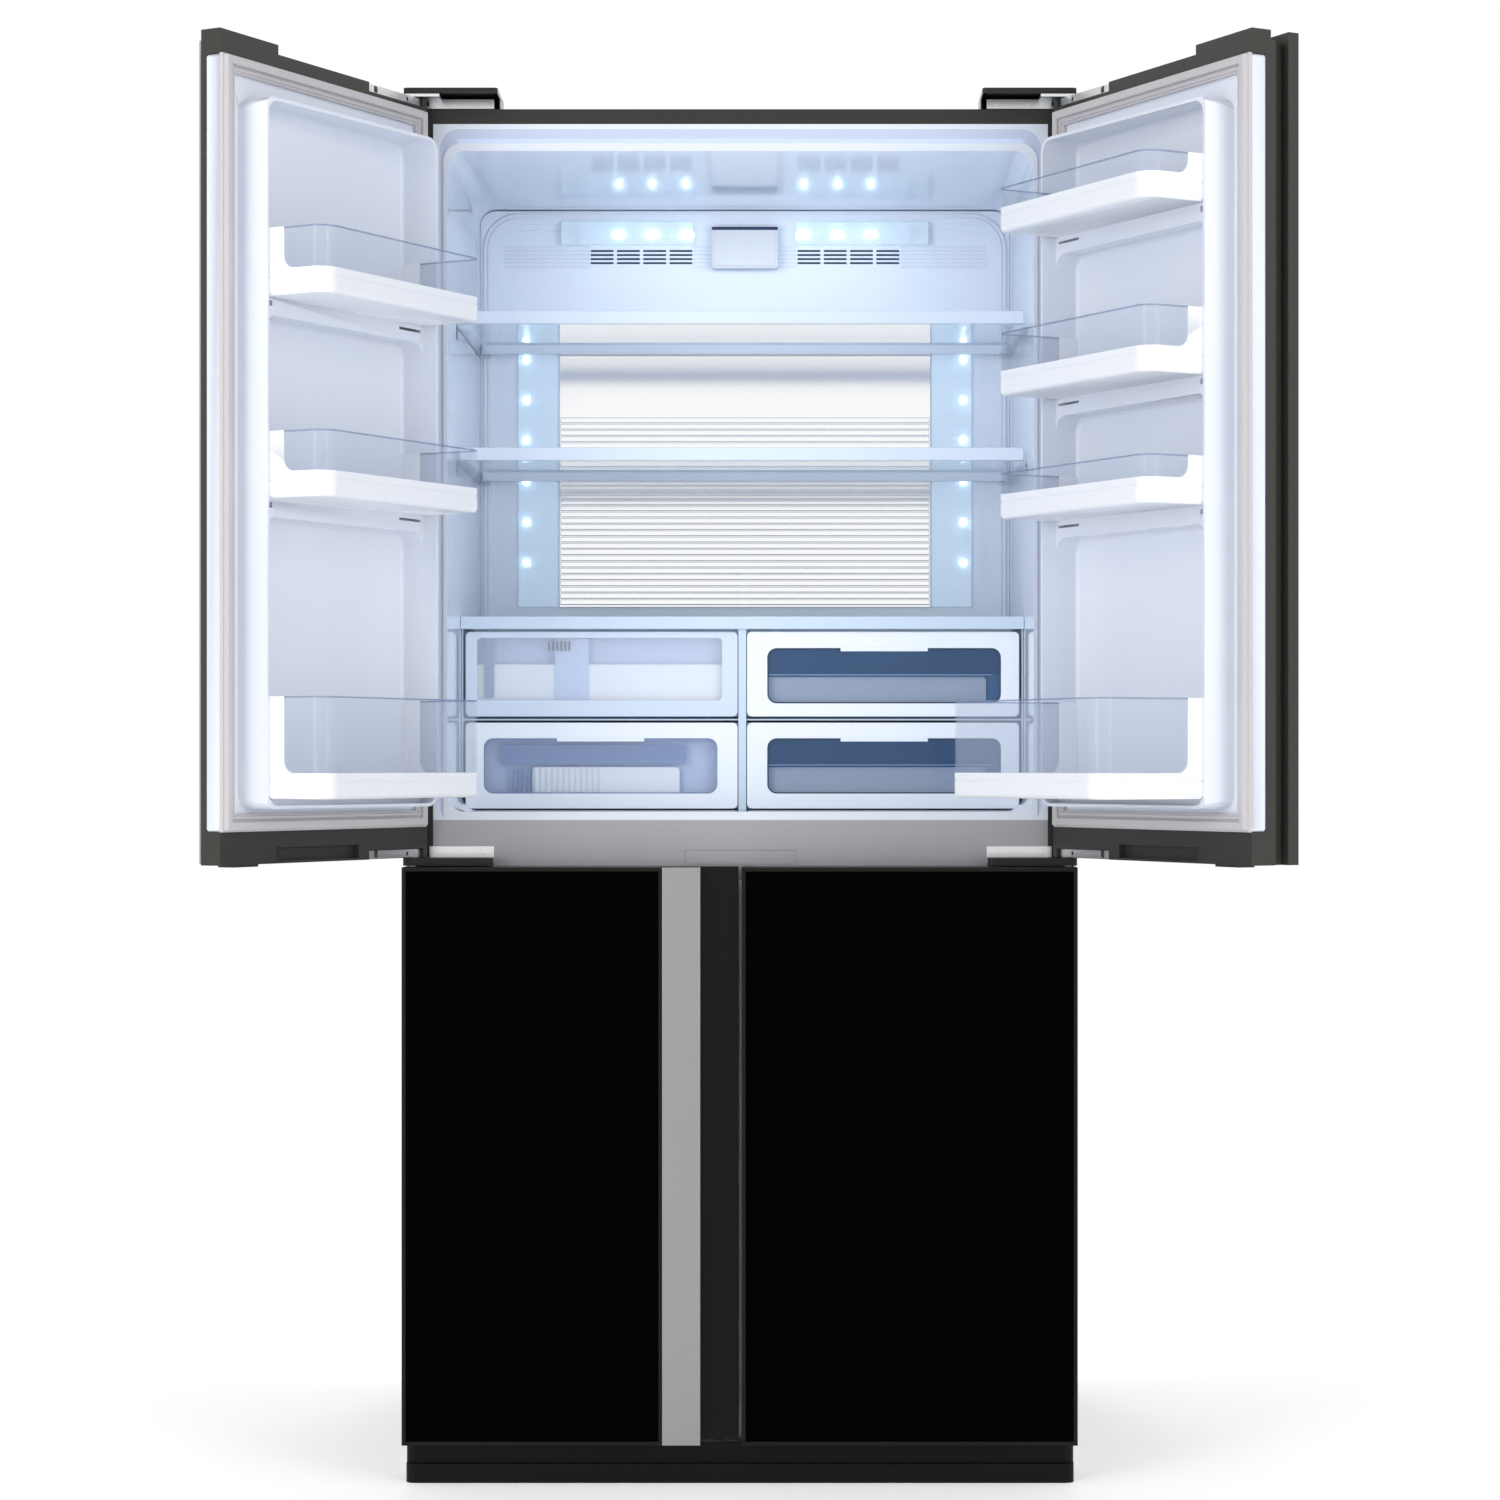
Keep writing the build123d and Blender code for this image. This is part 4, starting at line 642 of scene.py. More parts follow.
def makeDoorLiner(name, levels):
    seat = addRounded(name, *doorLiner["seat"], 1, doorLiner["seatCorner"], 4)
    dyke = addRounded("dyke", *doorLiner["dyke"], 1, doorLiner["dykeCorner"], 10)
    free, hingeSide = Vector(doorLiner["crestFree"]), Vector(doorLiner["crestHinge"])
    slope = hingeSide - free
    cutPlane(dyke, (*free, 0), (-slope.y, slope.x, 0))
    flank = free - Vector((doorLiner["dyke"][0], -12.0))
    cutPlane(dyke, (*free, 0), (-flank.y, flank.x, 0))
    unite(seat, dyke)
    crest = doorLiner["crestWidth"]
    x0, x1 = doorLiner["crestFree"][0] + crest, doorLiner["dyke"][1] - crest
    z0, z1 = doorLiner["dyke"][4] + crest, doorLiner["dyke"][5] - crest
    crestCorner = doorLiner["dykeCorner"] - crest
    carve(seat, addRounded("shallow", x0, x1, doorLiner["ledgeReach"], 70, z0, z1, 1, crestCorner, 8))
    tops = [z1] + [level - doorLiner["ledgeHeight"] for level in levels[:-1]]
    for low, high in zip(levels, tops):
        pocket = addBlock("pocket", x0, x1, doorLiner["pocketFloor"], 70, low, high)
        corner = doorLiner["pocketCorner"] if high < z1 else crestCorner
        roundAlong(pocket, 1, corner, 8, lambda a, b: a.z > high - 1)
        floorAt = doorLiner["pocketFloor"] + 0.1
        bevelEdges(
            pocket, lambda a, b: max(a.y, b.y) < floorAt and max(a.z, b.z) > low + 1, doorLiner["pocketFillet"], 5
        )
        carve(seat, pocket)
    for level in levels[:-1]:
        for part in ("hookSlot", "hookNotch"):
            *plan, low, high = doorLiner[part]
            carve(seat, addBlock(part, *plan, level + low, level + high))
    softEdges(seat, 1.6, 3, 30)
    return seat


for hand, side in (("left", -1), ("right", 1)):
    sheet = makeDoorLiner(f"upper_{hand}_formed_liner", [size[0] for size in bins[hand]])
    hangOnDoor(sheet, side, True)
    finishPiece(sheet, doorLinerSheet, None, [f"upper_{hand}_liner"])
print("stage: door liners made")


# Magnetic gaskets: a flat foot, the hump of the magnet pocket and a lower bellows fold

gasket = {
    "x": (1.5, 433.0), "y": (-12.0, -7.0), "width": 22.0,
    "levels": {"upper": (868.8, 1819.4), "lower": (88.0, 793.0)},
    "steps": [
        (1.8, 0), (0.6, 5.9), (1.0, 0.8), (8.2, -0.8), (1.0, -4.6), (2.4, 0), (0.8, 2.6), (2.4, 0), (0.8, -2.6)
    ],
}


def makeGasket(name, low, high):
    ring = addBlock(name, *gasket["x"], *gasket["y"], low, high)
    stepFace(ring, lambda c, n: n.y > 0.9, gasket["steps"], 1)
    width = gasket["width"]
    carve(ring, addBlock(
        "gasketHole", gasket["x"][0] + width, gasket["x"][1] - width, -20, 10, low + width, high - width
    ))
    softEdges(ring, 0.5, 2, 40)
    return ring


for level, (low, high) in gasket["levels"].items():
    for hand, side in (("left", -1), ("right", 1)):
        ring = makeGasket(f"{level}_{hand}_bellows_gasket", low, high)
        hangOnDoor(ring, side, level == "upper")
        finishPiece(ring, gasketPvc, None, [f"{level}_{hand}_gasket"])
print("stage: gaskets made")


# Crispers: clear tub, front panel with a window and its pane, and what shows behind the pane

crispers = {
    "x": (6.5, 386.5), "y": (190.0, 478.0), "panel": 3.0, "wall": 2.5, "frontCorner": 7.0,
    "runners": (41.5, 38.5), "runnerHalf": 1.5, "runnerDepth": 1.6,
    "windowInner": 28.5, "windowOuter": 25.5, "windowHeight": 77.0, "windowCorner": 13.0,
    "frosted": {"inner": 22, "outer": 16, "low": 23, "high": 9, "corner": 6.0},
    "lipGap": 0.2, "lipWidth": 1.8, "tabHalf": 61, "tabDrop": 4.4,
    "innerWall": (88.0, 294.0), "bar": (79.0, 336.0), "ventDuct": (215, 262), "endWall": (347, 361),
    "shadePlateHeight": 36, "tubEndWidth": 17,
    "vent": {"start": 146, "pitch": 5.6, "width": 2.6, "count": 6, "low": 18, "high": 4},
    "combs": (("white", 196.0, 12, 8.2), ("dark", 296.0, 4, 7.0)), "ribWidth": 4.2,
    "lower": {"z": (890.0, 1010.0), "sill": 21.0, "foot": 18.0},
    "upper": {"z": (1018.5, 1137.0), "sill": 18.5, "foot": 6.0},
}
# How far behind the front face each piece starts and ends
crisperLayers = {
    "pane": (0.9, 2.4), "lip": (0.5, 2.8), "tab": (0.4, 3), "vent": (2.5, 3.4), "ledge": (4, 8), "shadePlate": (5, 7),
    "bar": (8, 11), "ribs": (8.6, 12.2), "endWall": (8, 10), "ventDuct": (9, 11), "tubEnd": (9, 11),
    "innerWall": (12, 14), "back": (22, 24),
}


# Upright plate of a crisper with rounded corners: piece, material and slot
def makePlate(name, layer, x0, x1, z0, z1, corner, segments, material, slot):
    front = crispers["y"][0]
    near, far = crisperLayers[layer]
    plate = addRounded(name, x0, x1, front + near, front + far, z0, z1, 1, corner, segments)
    softEdges(plate, 0.5, 2)
    return plate, material, slot


# Dark or blue outline of the window, and the white tab over its top edge
def makeWindowTrim(node, side, w0, w1, v0, v1, corner):
    y0, gap, width = crispers["y"][0], crispers["lipGap"], crispers["lipWidth"]
    near, far = crisperLayers["lip"]
    lip = addRounded(node + "_lip", w0 + gap, w1 - gap, y0 + near, y0 + far, v0 + gap, v1 - gap, 1, corner, 8)
    carve(lip, addRounded(
        "lipHole", w0 + width, w1 - width, y0 - 5, y0 + 10, v0 + width, v1 - width, 1, corner - 1.6, 8
    ))
    softEdges(lip, 0.4, 2)
    middle, half = (w0 + w1) / 2, crispers["tabHalf"]
    tab = makePlate(
        node + "_tab", "tab", middle - half, middle + half, v1 - crispers["tabDrop"], v1 + 1, 1.0, 3, whiteAbs,
        "bin_white"
    )
    return [(lip, navyTrimAndShade if side > 0 else smokedBlue, "clear_plastic"), tab]


# Right crispers: a navy plate behind the upper part, painted shade standing in for the shade inside the tub; a ledge
# under it and the end of the tub
def makeRightInside(node, w0, w1, v0, v1):
    y0, height = crispers["y"][0], crispers["shadePlateHeight"]
    near, far = crisperLayers["ledge"]
    shadePlate = makePlate(
        node + "_insert", "shadePlate", w0 - 1, w1 + 1, v1 - height, v1 + 2, 2.0, 4, navyTrimAndShade, "clear_plastic"
    )
    ledgeTop = v1 - height - 0.2
    ledge = addRounded(node + "_ledge", w0 - 1, w1 - 12, y0 + near, y0 + far, v1 - height - 2, ledgeTop, 0, 0.6, 3)
    softEdges(ledge, 0.3, 2)
    tubEnd = makePlate(
        node + "_tub_end", "tubEnd", w1 - crispers["tubEndWidth"], w1 + 1, v0 - 1, v1 - height - 2, 3.0, 4,
        smokedEnd, "clear_plastic"
    )
    return [shadePlate, (ledge, backStyrene, "bin_white"), tubEnd]


# Lower left crisper: a bar across the window and two combs of upright ribs below it
def makeRibbedInside(node, z0, v0, v1):
    y0 = crispers["y"][0]
    near, far = crisperLayers["ribs"]
    pieces = [makePlate(
        node + "_inner_bar", "bar", *crispers["bar"], v1 - 36, v1 - 9, 3.0, 4, smokedBlue, "clear_plastic"
    )]
    for label, start, count, pitch in crispers["combs"]:
        ribs = [
            addBlock("rib", u, u + crispers["ribWidth"], y0 + near, y0 + far, z0 + 8, v0 + (v1 - v0) * 0.46)
            for u in [start + index * pitch for index in range(count)]
        ]
        comb = joinPieces(f"{node}_{label}_ribs", ribs)
        softEdges(comb, 0.8, 2)
        pieces.append((comb, smokedBlue if label == "dark" else innerStyrene, "bin_white"))
    return pieces


# Upper left crisper: air vent, the duct below it and the end wall, all behind the frosted front
def makeVentInside(node, z0, v0, v1):
    y0, vent = crispers["y"][0], crispers["vent"]
    near, far = crisperLayers["vent"]
    start = crispers["x"][1] - vent["start"]
    slots = [
        addBlock("ventSlot", u, u + vent["width"], y0 + near, y0 + far, v1 - vent["low"], v1 - vent["high"])
        for u in [start + vent["pitch"] * index for index in range(vent["count"])]
    ]
    grille = joinPieces(node + "_vent", slots)
    softEdges(grille, 0.4, 2)
    return [
        (grille, blackAbs, "black_plastic"),
        makePlate(
            node + "_vent_duct", "ventDuct", *crispers["ventDuct"], z0 + 4, v1, 2.0, 3, backStyrene, "bin_white"
        ),
        makePlate(
            node + "_end_wall", "endWall", *crispers["endWall"], v0 + 3, v1 - 3, 3.0, 3, smokedBlue, "clear_plastic"
        ),
    ]


def makeCrisper(level, side):
    hand = "right" if side > 0 else "left"
    node, body = f"crisper_{level}_{hand}", f"crisper_{level}_{hand}_body"
    shape = crispers[level]
    x0, x1 = crispers["x"]
    y0, y1 = crispers["y"]
    z0, z1 = shape["z"]
    wall, panel = crispers["wall"], crispers["panel"]
    frosted = level == "upper" and side < 0
    pieces = []

    tub = addBlock(node + "_tub", x0, x1, y0 + panel, y1, z0, z1)
    roundAlong(tub, 1, shape["foot"], 6, lambda a, b: a.z < z0 + 1 and a.x > 300)
    stepFace(tub, lambda c, n: n.z > 0.9 and c.z > z1 - 1, [(wall, wall - (z1 - z0))], 2)
    innerRunner, outerRunner = crispers["runners"]
    half = crispers["runnerHalf"]
    for x in (x0 + innerRunner, x1 - outerRunner):
        low = z0 - crispers["runnerDepth"]
        unite(tub, addBlock("runner", x - half, x + half, y0 + panel + 4, y1 - 4, low, z0 + 1))
    w0, w1 = x0 + crispers["windowInner"], x1 - crispers["windowOuter"]
    v0 = z0 + shape["sill"]
    v1 = v0 + crispers["windowHeight"]
    corner = crispers["windowCorner"]
    if frosted:
        edge = crispers["frosted"]
        w0, w1, v0, v1 = x0 + edge["inner"], x1 - edge["outer"], z0 + edge["low"], z1 - edge["high"]
        corner = edge["corner"]
    carve(tub, addRounded("tubWindow", w0 - 2, w1 + 2, y0, y0 + panel + wall + 2, v0 - 2, v1 + 2, 1, corner, 6))
    softEdges(tub, 0.6, 2)
    pieces.append((tub, tubStyrene, "clear_plastic"))

    front = addRounded(node + "_front", x0, x1, y0, y0 + panel, z0, z1, 1, crispers["frontCorner"], 6)
    carve(front, addRounded("windowHole", w0, w1, y0 - 5, y0 + 10, v0, v1, 1, corner, 8))
    softEdges(front, 1.1, 3)
    pieces.append((front, trimStyrene if frosted else whiteAbs, "shelf_trim" if frosted else "bin_white"))
    paneMaterial = frostedStyrene if frosted else (smokedDark if side > 0 else paleStyrene)
    pieces.append(makePlate(
        node + "_window", "pane", w0 - 0.2, w1 + 0.2, v0 - 0.2, v1 + 0.2, corner, 8, paneMaterial, "clear_plastic"
    ))
    if not frosted:
        pieces += makeWindowTrim(node, side, w0, w1, v0, v1, corner)

    inner = (w0 - 4, w1 - 20 if side > 0 else w1 + 2)
    if level == "lower" and side < 0:
        inner = crispers["innerWall"]
    wallTop = v0 + (v1 - v0) * (0.58 if frosted else 0.48)
    pieces.append(makePlate(
        node + "_inner_wall", "innerWall", *inner, z0 + 3, wallTop, 5.0, 4, innerStyrene, "bin_white"
    ))
    if side > 0:
        pieces += makeRightInside(node, w0, w1, v0, v1)
    else:
        pieces.append(makePlate(
            node + "_inner_back", "back", w0 - 2, w1 + 2, v0 - 2, v1 + 4, 4.0, 4, backStyrene, "bin_white"
        ))
        pieces += makeVentInside(node, z0, v0, v1) if frosted else makeRibbedInside(node, z0, v0, v1)

    for index, (piece, material, slot) in enumerate(pieces):
        if side < 0:
            flipToLeft(piece)
        finishPiece(piece, material, body, [node] if index == 0 else ())


for level in ("lower", "upper"):
    for side in (-1, 1):
        makeCrisper(level, side)
print("stage: crispers made")


# Cooling compartment liner: flange with a sunk band, rounded lip, filleted rear edges

cavity = {
    "flange": (-412.0, 412.0, 0.0, 12.0, 877.0, 1810.0), "flangeCorner": 1.2,
    "hull": (-395.0, 395.0, 8.0, 577.0, 886.0, 1776.0), "hullCorner": 26.0,
    "room": (-393.0, 393.0, -2.0, 575.0, 888.0, 1774.0), "roomCorner": 24.0, "rearFillet": 16.0,
    "bandOuter": (-404.0, 404.0, -2.0, 1.5, 872.0, 1803.0), "bandInner": (-398.6, 398.6, -4.0, 6.0, 860.0, 1784.5),
    "bandOuterCorner": 26.0, "bandInnerCorner": 24.0,
    "strip": (-403.8, 403.8, 1.3, 2.4, 877.3, 1802.8), "stripCorner": 25.8,
    "stripHole": (-398.8, 398.8, -2, 8, 860, 1784.7),
}
linerPiece = addRounded("fridge_formed_liner", *cavity["flange"], 1, cavity["flangeCorner"], 5)
unite(linerPiece, addRounded("hull", *cavity["hull"], 1, cavity["hullCorner"], 10))
room = addRounded("room", *cavity["room"], 1, cavity["roomCorner"], 12)
bevelEdges(room, lambda a, b: min(a.y, b.y) > 574, cavity["rearFillet"], 6)
carve(linerPiece, room)
band = addRounded("band", *cavity["bandOuter"], 1, cavity["bandOuterCorner"], 10)
carve(band, addRounded("bandCore", *cavity["bandInner"], 1, cavity["bandInnerCorner"], 10))
carve(linerPiece, band)
softEdges(linerPiece, 1.8, 4, 32)
finishPiece(linerPiece, liner, "cabinet", ["fridge_liner"])

# Painted steel strip in the sunk band, open at the bottom; its blue-grey colour is partly painted shade
strip = addBlock("flange_band_strip", *cavity["strip"])
roundAlong(strip, 1, cavity["stripCorner"], 10, lambda a, b: a.z > 1700)
hole = addBlock("stripHole", *cavity["stripHole"])
roundAlong(hole, 1, cavity["bandInnerCorner"], 10, lambda a, b: a.z > 1700)
carve(strip, hole)
softEdges(strip, 0.3, 2)
finishPiece(strip, bandSteelAndShade, "cabinet")


# Rear duct: the box, and a face with two rounded mouldings, level grooves and the air slots

duct = {
    "face": (-387.0, 387.0, 487.0, 492.4, 894.0, 1768.0), "faceCorner": 52.0,
    "steps": [(5.0, 0), (1.4, -1.8), (8.0, 0), (1.4, 2.2), (7.0, 0), (1.6, 2.2)],
    "flange": (-392.8, 392.8, 490.2, 493.0, 890.0, 1772.8), "flangeCorner": 23.0,
    "slotColumns": 4, "slotRows": 4, "slotStart": 78.0, "slotPitch": 39.0, "slotWidth": 34.0, "slotLow": 1694.0,
    "rowPitch": 6.0, "slotHeight": 3.0,
    "grooves": ((50.0, 76.0), (232.0, 358.0)), "grooveRows": 6, "grooveLow": -6.4, "grooveHeight": 2.8,
    "grooveFloor": 491.8, "hole": (-360, 360, 480, 500, 920, 1740), "holeCorner": 30.0,
    "slotBack": (-240, 240, 493.2, 494.4, 1688, 1722),
}
softenNode("duct_panel", "cabinet", liner, 1.2, 3)
face = addRounded("duct_moulded_face", *duct["face"], 1, duct["faceCorner"], 14)
stepFace(face, lambda c, n: n.y < -0.9, duct["steps"], 1)
cutters = []
for side in (-1, 1):
    for row in range(duct["slotRows"]):
        low = duct["slotLow"] + row * duct["rowPitch"]
        for column in range(duct["slotColumns"]):
            start = duct["slotStart"] + column * duct["slotPitch"]
            xs = sorted((side * start, side * (start + duct["slotWidth"])))
            cutters.append(addBlock("slot", *xs, 470, 500, low, low + duct["slotHeight"]))
    for row in range(duct["grooveRows"]):
        low = duct["slotLow"] + duct["grooveLow"] + row * duct["rowPitch"]
        for start, end in duct["grooves"]:
            xs = sorted((side * start, side * end))
            cutters.append(addBlock("groove", *xs, 470, duct["grooveFloor"], low, low + duct["grooveHeight"]))
carve(face, joinPieces("ductCuts", cutters))
softEdges(face, 0.5, 2, 30)
finishPiece(face, liner, "cabinet")
flange = addRounded("duct_flange", *duct["flange"], 1, duct["flangeCorner"], 8)
carve(flange, addRounded("flangeHole", *duct["hole"], 1, duct["holeCorner"], 8))
softEdges(flange, 0.8, 2)
finishPiece(flange, liner, "cabinet")
# Painted shade: a dark sheet behind the duct's air slots, for the shadow in them
slotBack = addRounded("duct_slot_shadow", *duct["slotBack"], 1, 3.0, 4)
softEdges(slotBack, 0.3, 1)
finishPiece(slotBack, slotShade, "cabinet")
print("stage: cavity and duct made")

# Metallised panel: plain band above, half-round ribs below

mirror = {
    "sheet": (-274.8, 274.8, 486.6, 491.5, 1185.0, 1609.0), "ribs": 30, "pitch": 9.3, "first": 1192.1,
    "half": 4.1, "front": 484.4, "round": 2.0,
}
panel = addBlock("mirror_panel", *mirror["sheet"])
softEdges(panel, 0.4, 2)
ribs = [panel]
for index in range(mirror["ribs"]):
    level = mirror["first"] + index * mirror["pitch"]
    half = mirror["half"]
    rib = addBlock("rib", -273.8, 273.8, mirror["front"], 487.0, level - half, level + half)
    softEdges(rib, mirror["round"], 4)
    ribs.append(rib)
panel = joinPieces("mirror_panel_ribbed", ribs)
finishPiece(panel, mirrorPanel, "cabinet", ["cooling_panel"])

# Lamps: covers, chips and the lit reflectors behind them

lamps = {
    "topX": (186.5, 137.5, 87.2), "topZ": 1736.0, "columnX": 324.0,
    "columnZ": (1581.5, 1552.0, 1492.0, 1433.0, 1371.0, 1311.0, 1251.0), "chip": 3.4,
    "endRibs": 5, "endRibX": 262.0, "endRibPitch": 5.0, "rails": (1728.0, 1747.0), "railX": (84.0, 236.0),
}
chips, glows = [], []
for side in (-1, 1):
    for x in lamps["topX"]:
        chip = addRod("chip", (side * x, 480.0, lamps["topZ"]), (0, 1, 0), 5.0, 1.6, 24)
        softEdges(chip, 0.6, 2)
        chips.append(chip)
        glow = addBlock("glow", side * x - 13, side * x + 13, 484.6, 486.4, lamps["topZ"] - 9, lamps["topZ"] + 9)
        roundAlong(glow, 1, 8.0, 6)
        softEdges(glow, 0.5, 2)
        glows.append(glow)
    for z in lamps["columnZ"]:
        half = lamps["chip"]
        x = side * lamps["columnX"]
        chip = addBlock("chip", x - half, x + half, 487.0, 488.4, z - half, z + half)
        roundAlong(chip, 1, 1.0, 3)
        softEdges(chip, 0.3, 2)
        chips.append(chip)
        glow = addBlock("glow", x - 7, x + 7, 488.8, 489.4, z - 8, z + 8)
        roundAlong(glow, 1, 5.0, 6)
        softEdges(glow, 0.3, 2)
        glows.append(glow)
finishPiece(joinPieces("lamp_chips", chips), lampChip, "cabinet")
finishPiece(joinPieces("lamp_reflectors", glows), lampGlow, "cabinet")
endRibs = []
for side in (-1, 1):
    for index in range(lamps["endRibs"]):
        x = side * (lamps["endRibX"] - index * lamps["endRibPitch"])
        rib = addBlock("endRib", x - 1.0, x + 1.0, 476.0, 487.0, 1725.0, 1751.0)
        softEdges(rib, 0.4, 2)
        endRibs.append(rib)
    for z in lamps["rails"]:
        xs = sorted(side * x for x in lamps["railX"])
        rail = addBlock("innerRail", *xs, 477.0, 480.0, z - 1.2, z + 1.2)
        softEdges(rail, 0.5, 2)
        endRibs.append(rail)
finishPiece(joinPieces("lamp_inner_ribs", endRibs), trimStyrene, "cabinet")
softenNode("light_covers", "cabinet", diffuser, 0.7, 2)

# Ionizer box: silver face in a thin groove, navy strip on top

ionizer = {"box": (-48.7, 48.7, 470.0, 492.0, 1685.5, 1746.0), "corner": 4.0, "strip": 4.4}
box = addRounded("ionizer_moulded_box", *ionizer["box"], 1, ionizer["corner"], 5)
stepFace(box, lambda c, n: n.y < -0.9, [(2.2, 0), (0.3, 0.9), (0.9, 0), (0.3, -0.9)], 1)
softEdges(box, 0.5, 2)
finishPiece(box, silverAbs, "cabinet", ["ionizer_box"])
low = ionizer["box"][5] - ionizer["strip"]
strip = addBlock("ionizer_top_strip", -48.9, 48.9, 469.6, 480.0, low, ionizer["box"][5] + 0.3)
roundAlong(strip, 1, 1.5, 3)
softEdges(strip, 0.5, 2)
finishPiece(strip, navyStyrene, "cabinet")
print("stage: panel, lamps and ionizer made")


# Zinc plates in the notches of the upper doors' caps, with a slot for the closer's bolt

capPlates = {
    "x": (315.0, 435.0), "y": (-20.2, -16.4), "levels": ((828.6, 839.4), (1826.6, 1837.4)), "slot": (330, 338),
    "holeX": 405, "holeRadius": 2.6,
}
for hand, side in (("left", -1), ("right", 1)):
    plates = []
    for low, high in capPlates["levels"]:
        plate = addRounded("capPlate", *capPlates["x"], *capPlates["y"], low, high, 1, 2.0, 4)
        middle = (low + high) / 2
        carve(plate, addRounded("plateSlot", *capPlates["slot"], -30, -10, middle - 4, middle + 6.5, 1, 1.5, 3))
        start = (capPlates["holeX"], -30, middle)
        carve(plate, addRod("plateHole", start, (0, 1, 0), capPlates["holeRadius"], 20, 24))
        softEdges(plate, 0.4, 2)
        plates.append(plate)
    plate = hangOnDoor(joinPieces(f"upper_{hand}_cap_plates", plates), side, True)
    finishPiece(plate, zincSteel, None)

# CAD nodes shown with softened edges: bevel width in millimetres

softNodes = {
    "outer_case": ("case_steel", 0.5), "centre_frame": ("frame_grey", 0.3), "plinth": ("black_plastic", 1.0),
    "hinge_brackets": ("hinge_steel", 0.5), "hinge_covers": ("black_plastic", 0.8),
    "shelf_panes": ("shelf_glass", 0.6), "shelf_trims": ("shelf_trim", 1.4), "shelf_brackets": ("clear_plastic", 1.2),
    "crisper_frame": ("silver_plastic", 0.8), "base_frame": ("zinc_sheet", 0.4), "machine_cover": ("zinc_sheet", 0.4),
    "freezer_liner": ("liner_white", 0.8), "compressor": ("compressor_black", 0.6),
    "foot_left": ("grey_plastic", 0.4), "foot_right": ("grey_plastic", 0.4),
    "roller_left": ("tyre_grey", 0.4), "roller_right": ("tyre_grey", 0.4),
    "freezer_drawers": ("clear_plastic", 0.8), "freezer_panel": ("liner_white", 0.6),
    "egg_tray": ("clear_plastic", 0.6), "drip_tray": ("grey_plastic", 0.6),
}
softBodies = {
    "egg_tray": "upper_right_door", "foot_left": "foot_left_body", "foot_right": "foot_right_body",
    "roller_left": "roller_left_body", "roller_right": "roller_right_body",
}
for node, (slot, width) in softNodes.items():
    softenNode(node, softBodies.get(node, "cabinet"), nodeMaterials[node], width, 2)


# Rear sheet: three pressed outlines, and screws along both sides in shallow seats
rear = {
    "fields": ((560, 900), (980, 1320), (1400, 1740)), "half": 360.0, "skin": 683.0, "outline": 6, "corner": 30.0,
    "outlineDepth": 0.35, "screws": 6, "screwX": 425.0, "screwZ": 520.0, "screwPitch": 252.0,
}
rearSheet = softenNode("rear_panel", "cabinet", zincSteel, 0.3, 2)
screws = []
for low, high in rear["fields"]:
    half, edge, deep = rear["half"], rear["outline"], rear["skin"] - rear["outlineDepth"]
    outline = addRounded("outline", -half, half, deep, 690, low, high, 1, rear["corner"], 8)
    core = (edge - half, half - edge, 670, 700, low + edge, high - edge)
    carve(rearSheet, carve(outline, addRounded("core", *core, 1, rear["corner"] - edge, 8)))
for side in (-1, 1):
    for index in range(rear["screws"]):
        x, z = side * rear["screwX"], rear["screwZ"] + index * rear["screwPitch"]
        carve(rearSheet, addRod("seat", (x, rear["skin"] - 0.4, z), (0, 1, 0), 6.0, 5, 32))
        screw = addRod("screw", (x, rear["skin"] - 0.9, z), (0, 1, 0), 4.2, 0.85, 24)
        carve(screw, addBlock("drive", x - 2.4, x + 2.4, rear["skin"] - 0.45, 690, z - 0.5, z + 0.5))
        softEdges(screw, 0.2, 2)
        screws.append(screw)
settleNormals(rearSheet)
finishPiece(joinPieces("rear_screws", screws), zincSteel, "cabinet")

doorSoft = {
    "shell": ("door_frame", 0.9), "glass": ("black_glass", 0.6), "handle_strip": ("strip_aluminium", 0.8),
    "liner": ("liner_white", 1.0),
}
for door in doors:
    for part, (slot, width) in doorSoft.items():
        node = f"{door}_{part}"
        if node in nodes and not (part == "liner" and door.startswith("upper")):
            softenNode(node, f"{door}_door", nodeMaterials[node], width, 2)
print("stage: cabinet and doors finished")

# Studio: pale floor, soft lamps, white background

studio = {
    "diffuse": 0.5, "floorGlow": 0.32, "floorNear": 0.9, "floorFar": 2.0,
    "lamps": {
        "fillLeft": {"at": (-2.7, -3.9, 1.3), "aim": (0, 0, 1.1), "size": (1.6, 2.2), "power": 51},
        "fillRight": {"at": (2.9, -3.9, 1.3), "aim": (0, 0, 1.1), "size": (1.6, 2.2), "power": 34},
        "keyLeft": {"at": (-2.6, -3.0, 3.2), "aim": (0, 0, 1.0), "size": (2.0, 2.0), "power": 24},
        "keyRight": {"at": (2.8, -3.0, 3.0), "aim": (0, 0, 1.0), "size": (2.0, 2.0), "power": 24},
        "rim": {"at": (0.0, 3.0, 3.2), "aim": (0, 0.3, 1.0), "size": (2.4, 2.4), "power": 40},
        "cavityFill": {
            "at": (0.0, 0.0, 1.36), "aim": (0, 1, 1.36), "size": (0.76, 0.86), "power": 0.63,
            "color": (0.6, 0.78, 1.0), "hidden": True,
        },
        "rearWash": {
            "at": (0.0, 0.3, 1.71), "aim": (0, 0.49, 1.56), "size": (0.5, 0.05), "power": 0.35,
            "color": (0.93, 0.97, 1.0), "hidden": True,
        },
    },
}

world = bpy.data.worlds.new("studioWorld")
bpy.context.scene.world = world
world.use_nodes = True
tree = world.node_tree
tree.nodes.clear()
strength = addNode(
    tree, "ShaderNodeMapRange", {"To Min": studio["diffuse"], "To Max": 1.0}, {"Value": addSeenMask(tree)}
)
light = addNode(tree, "ShaderNodeBackground", {"Color": (1, 1, 1, 1)}, {"Strength": strength.outputs["Result"]})
addNode(tree, "ShaderNodeOutputWorld", None, {"Surface": light.outputs["Background"]})

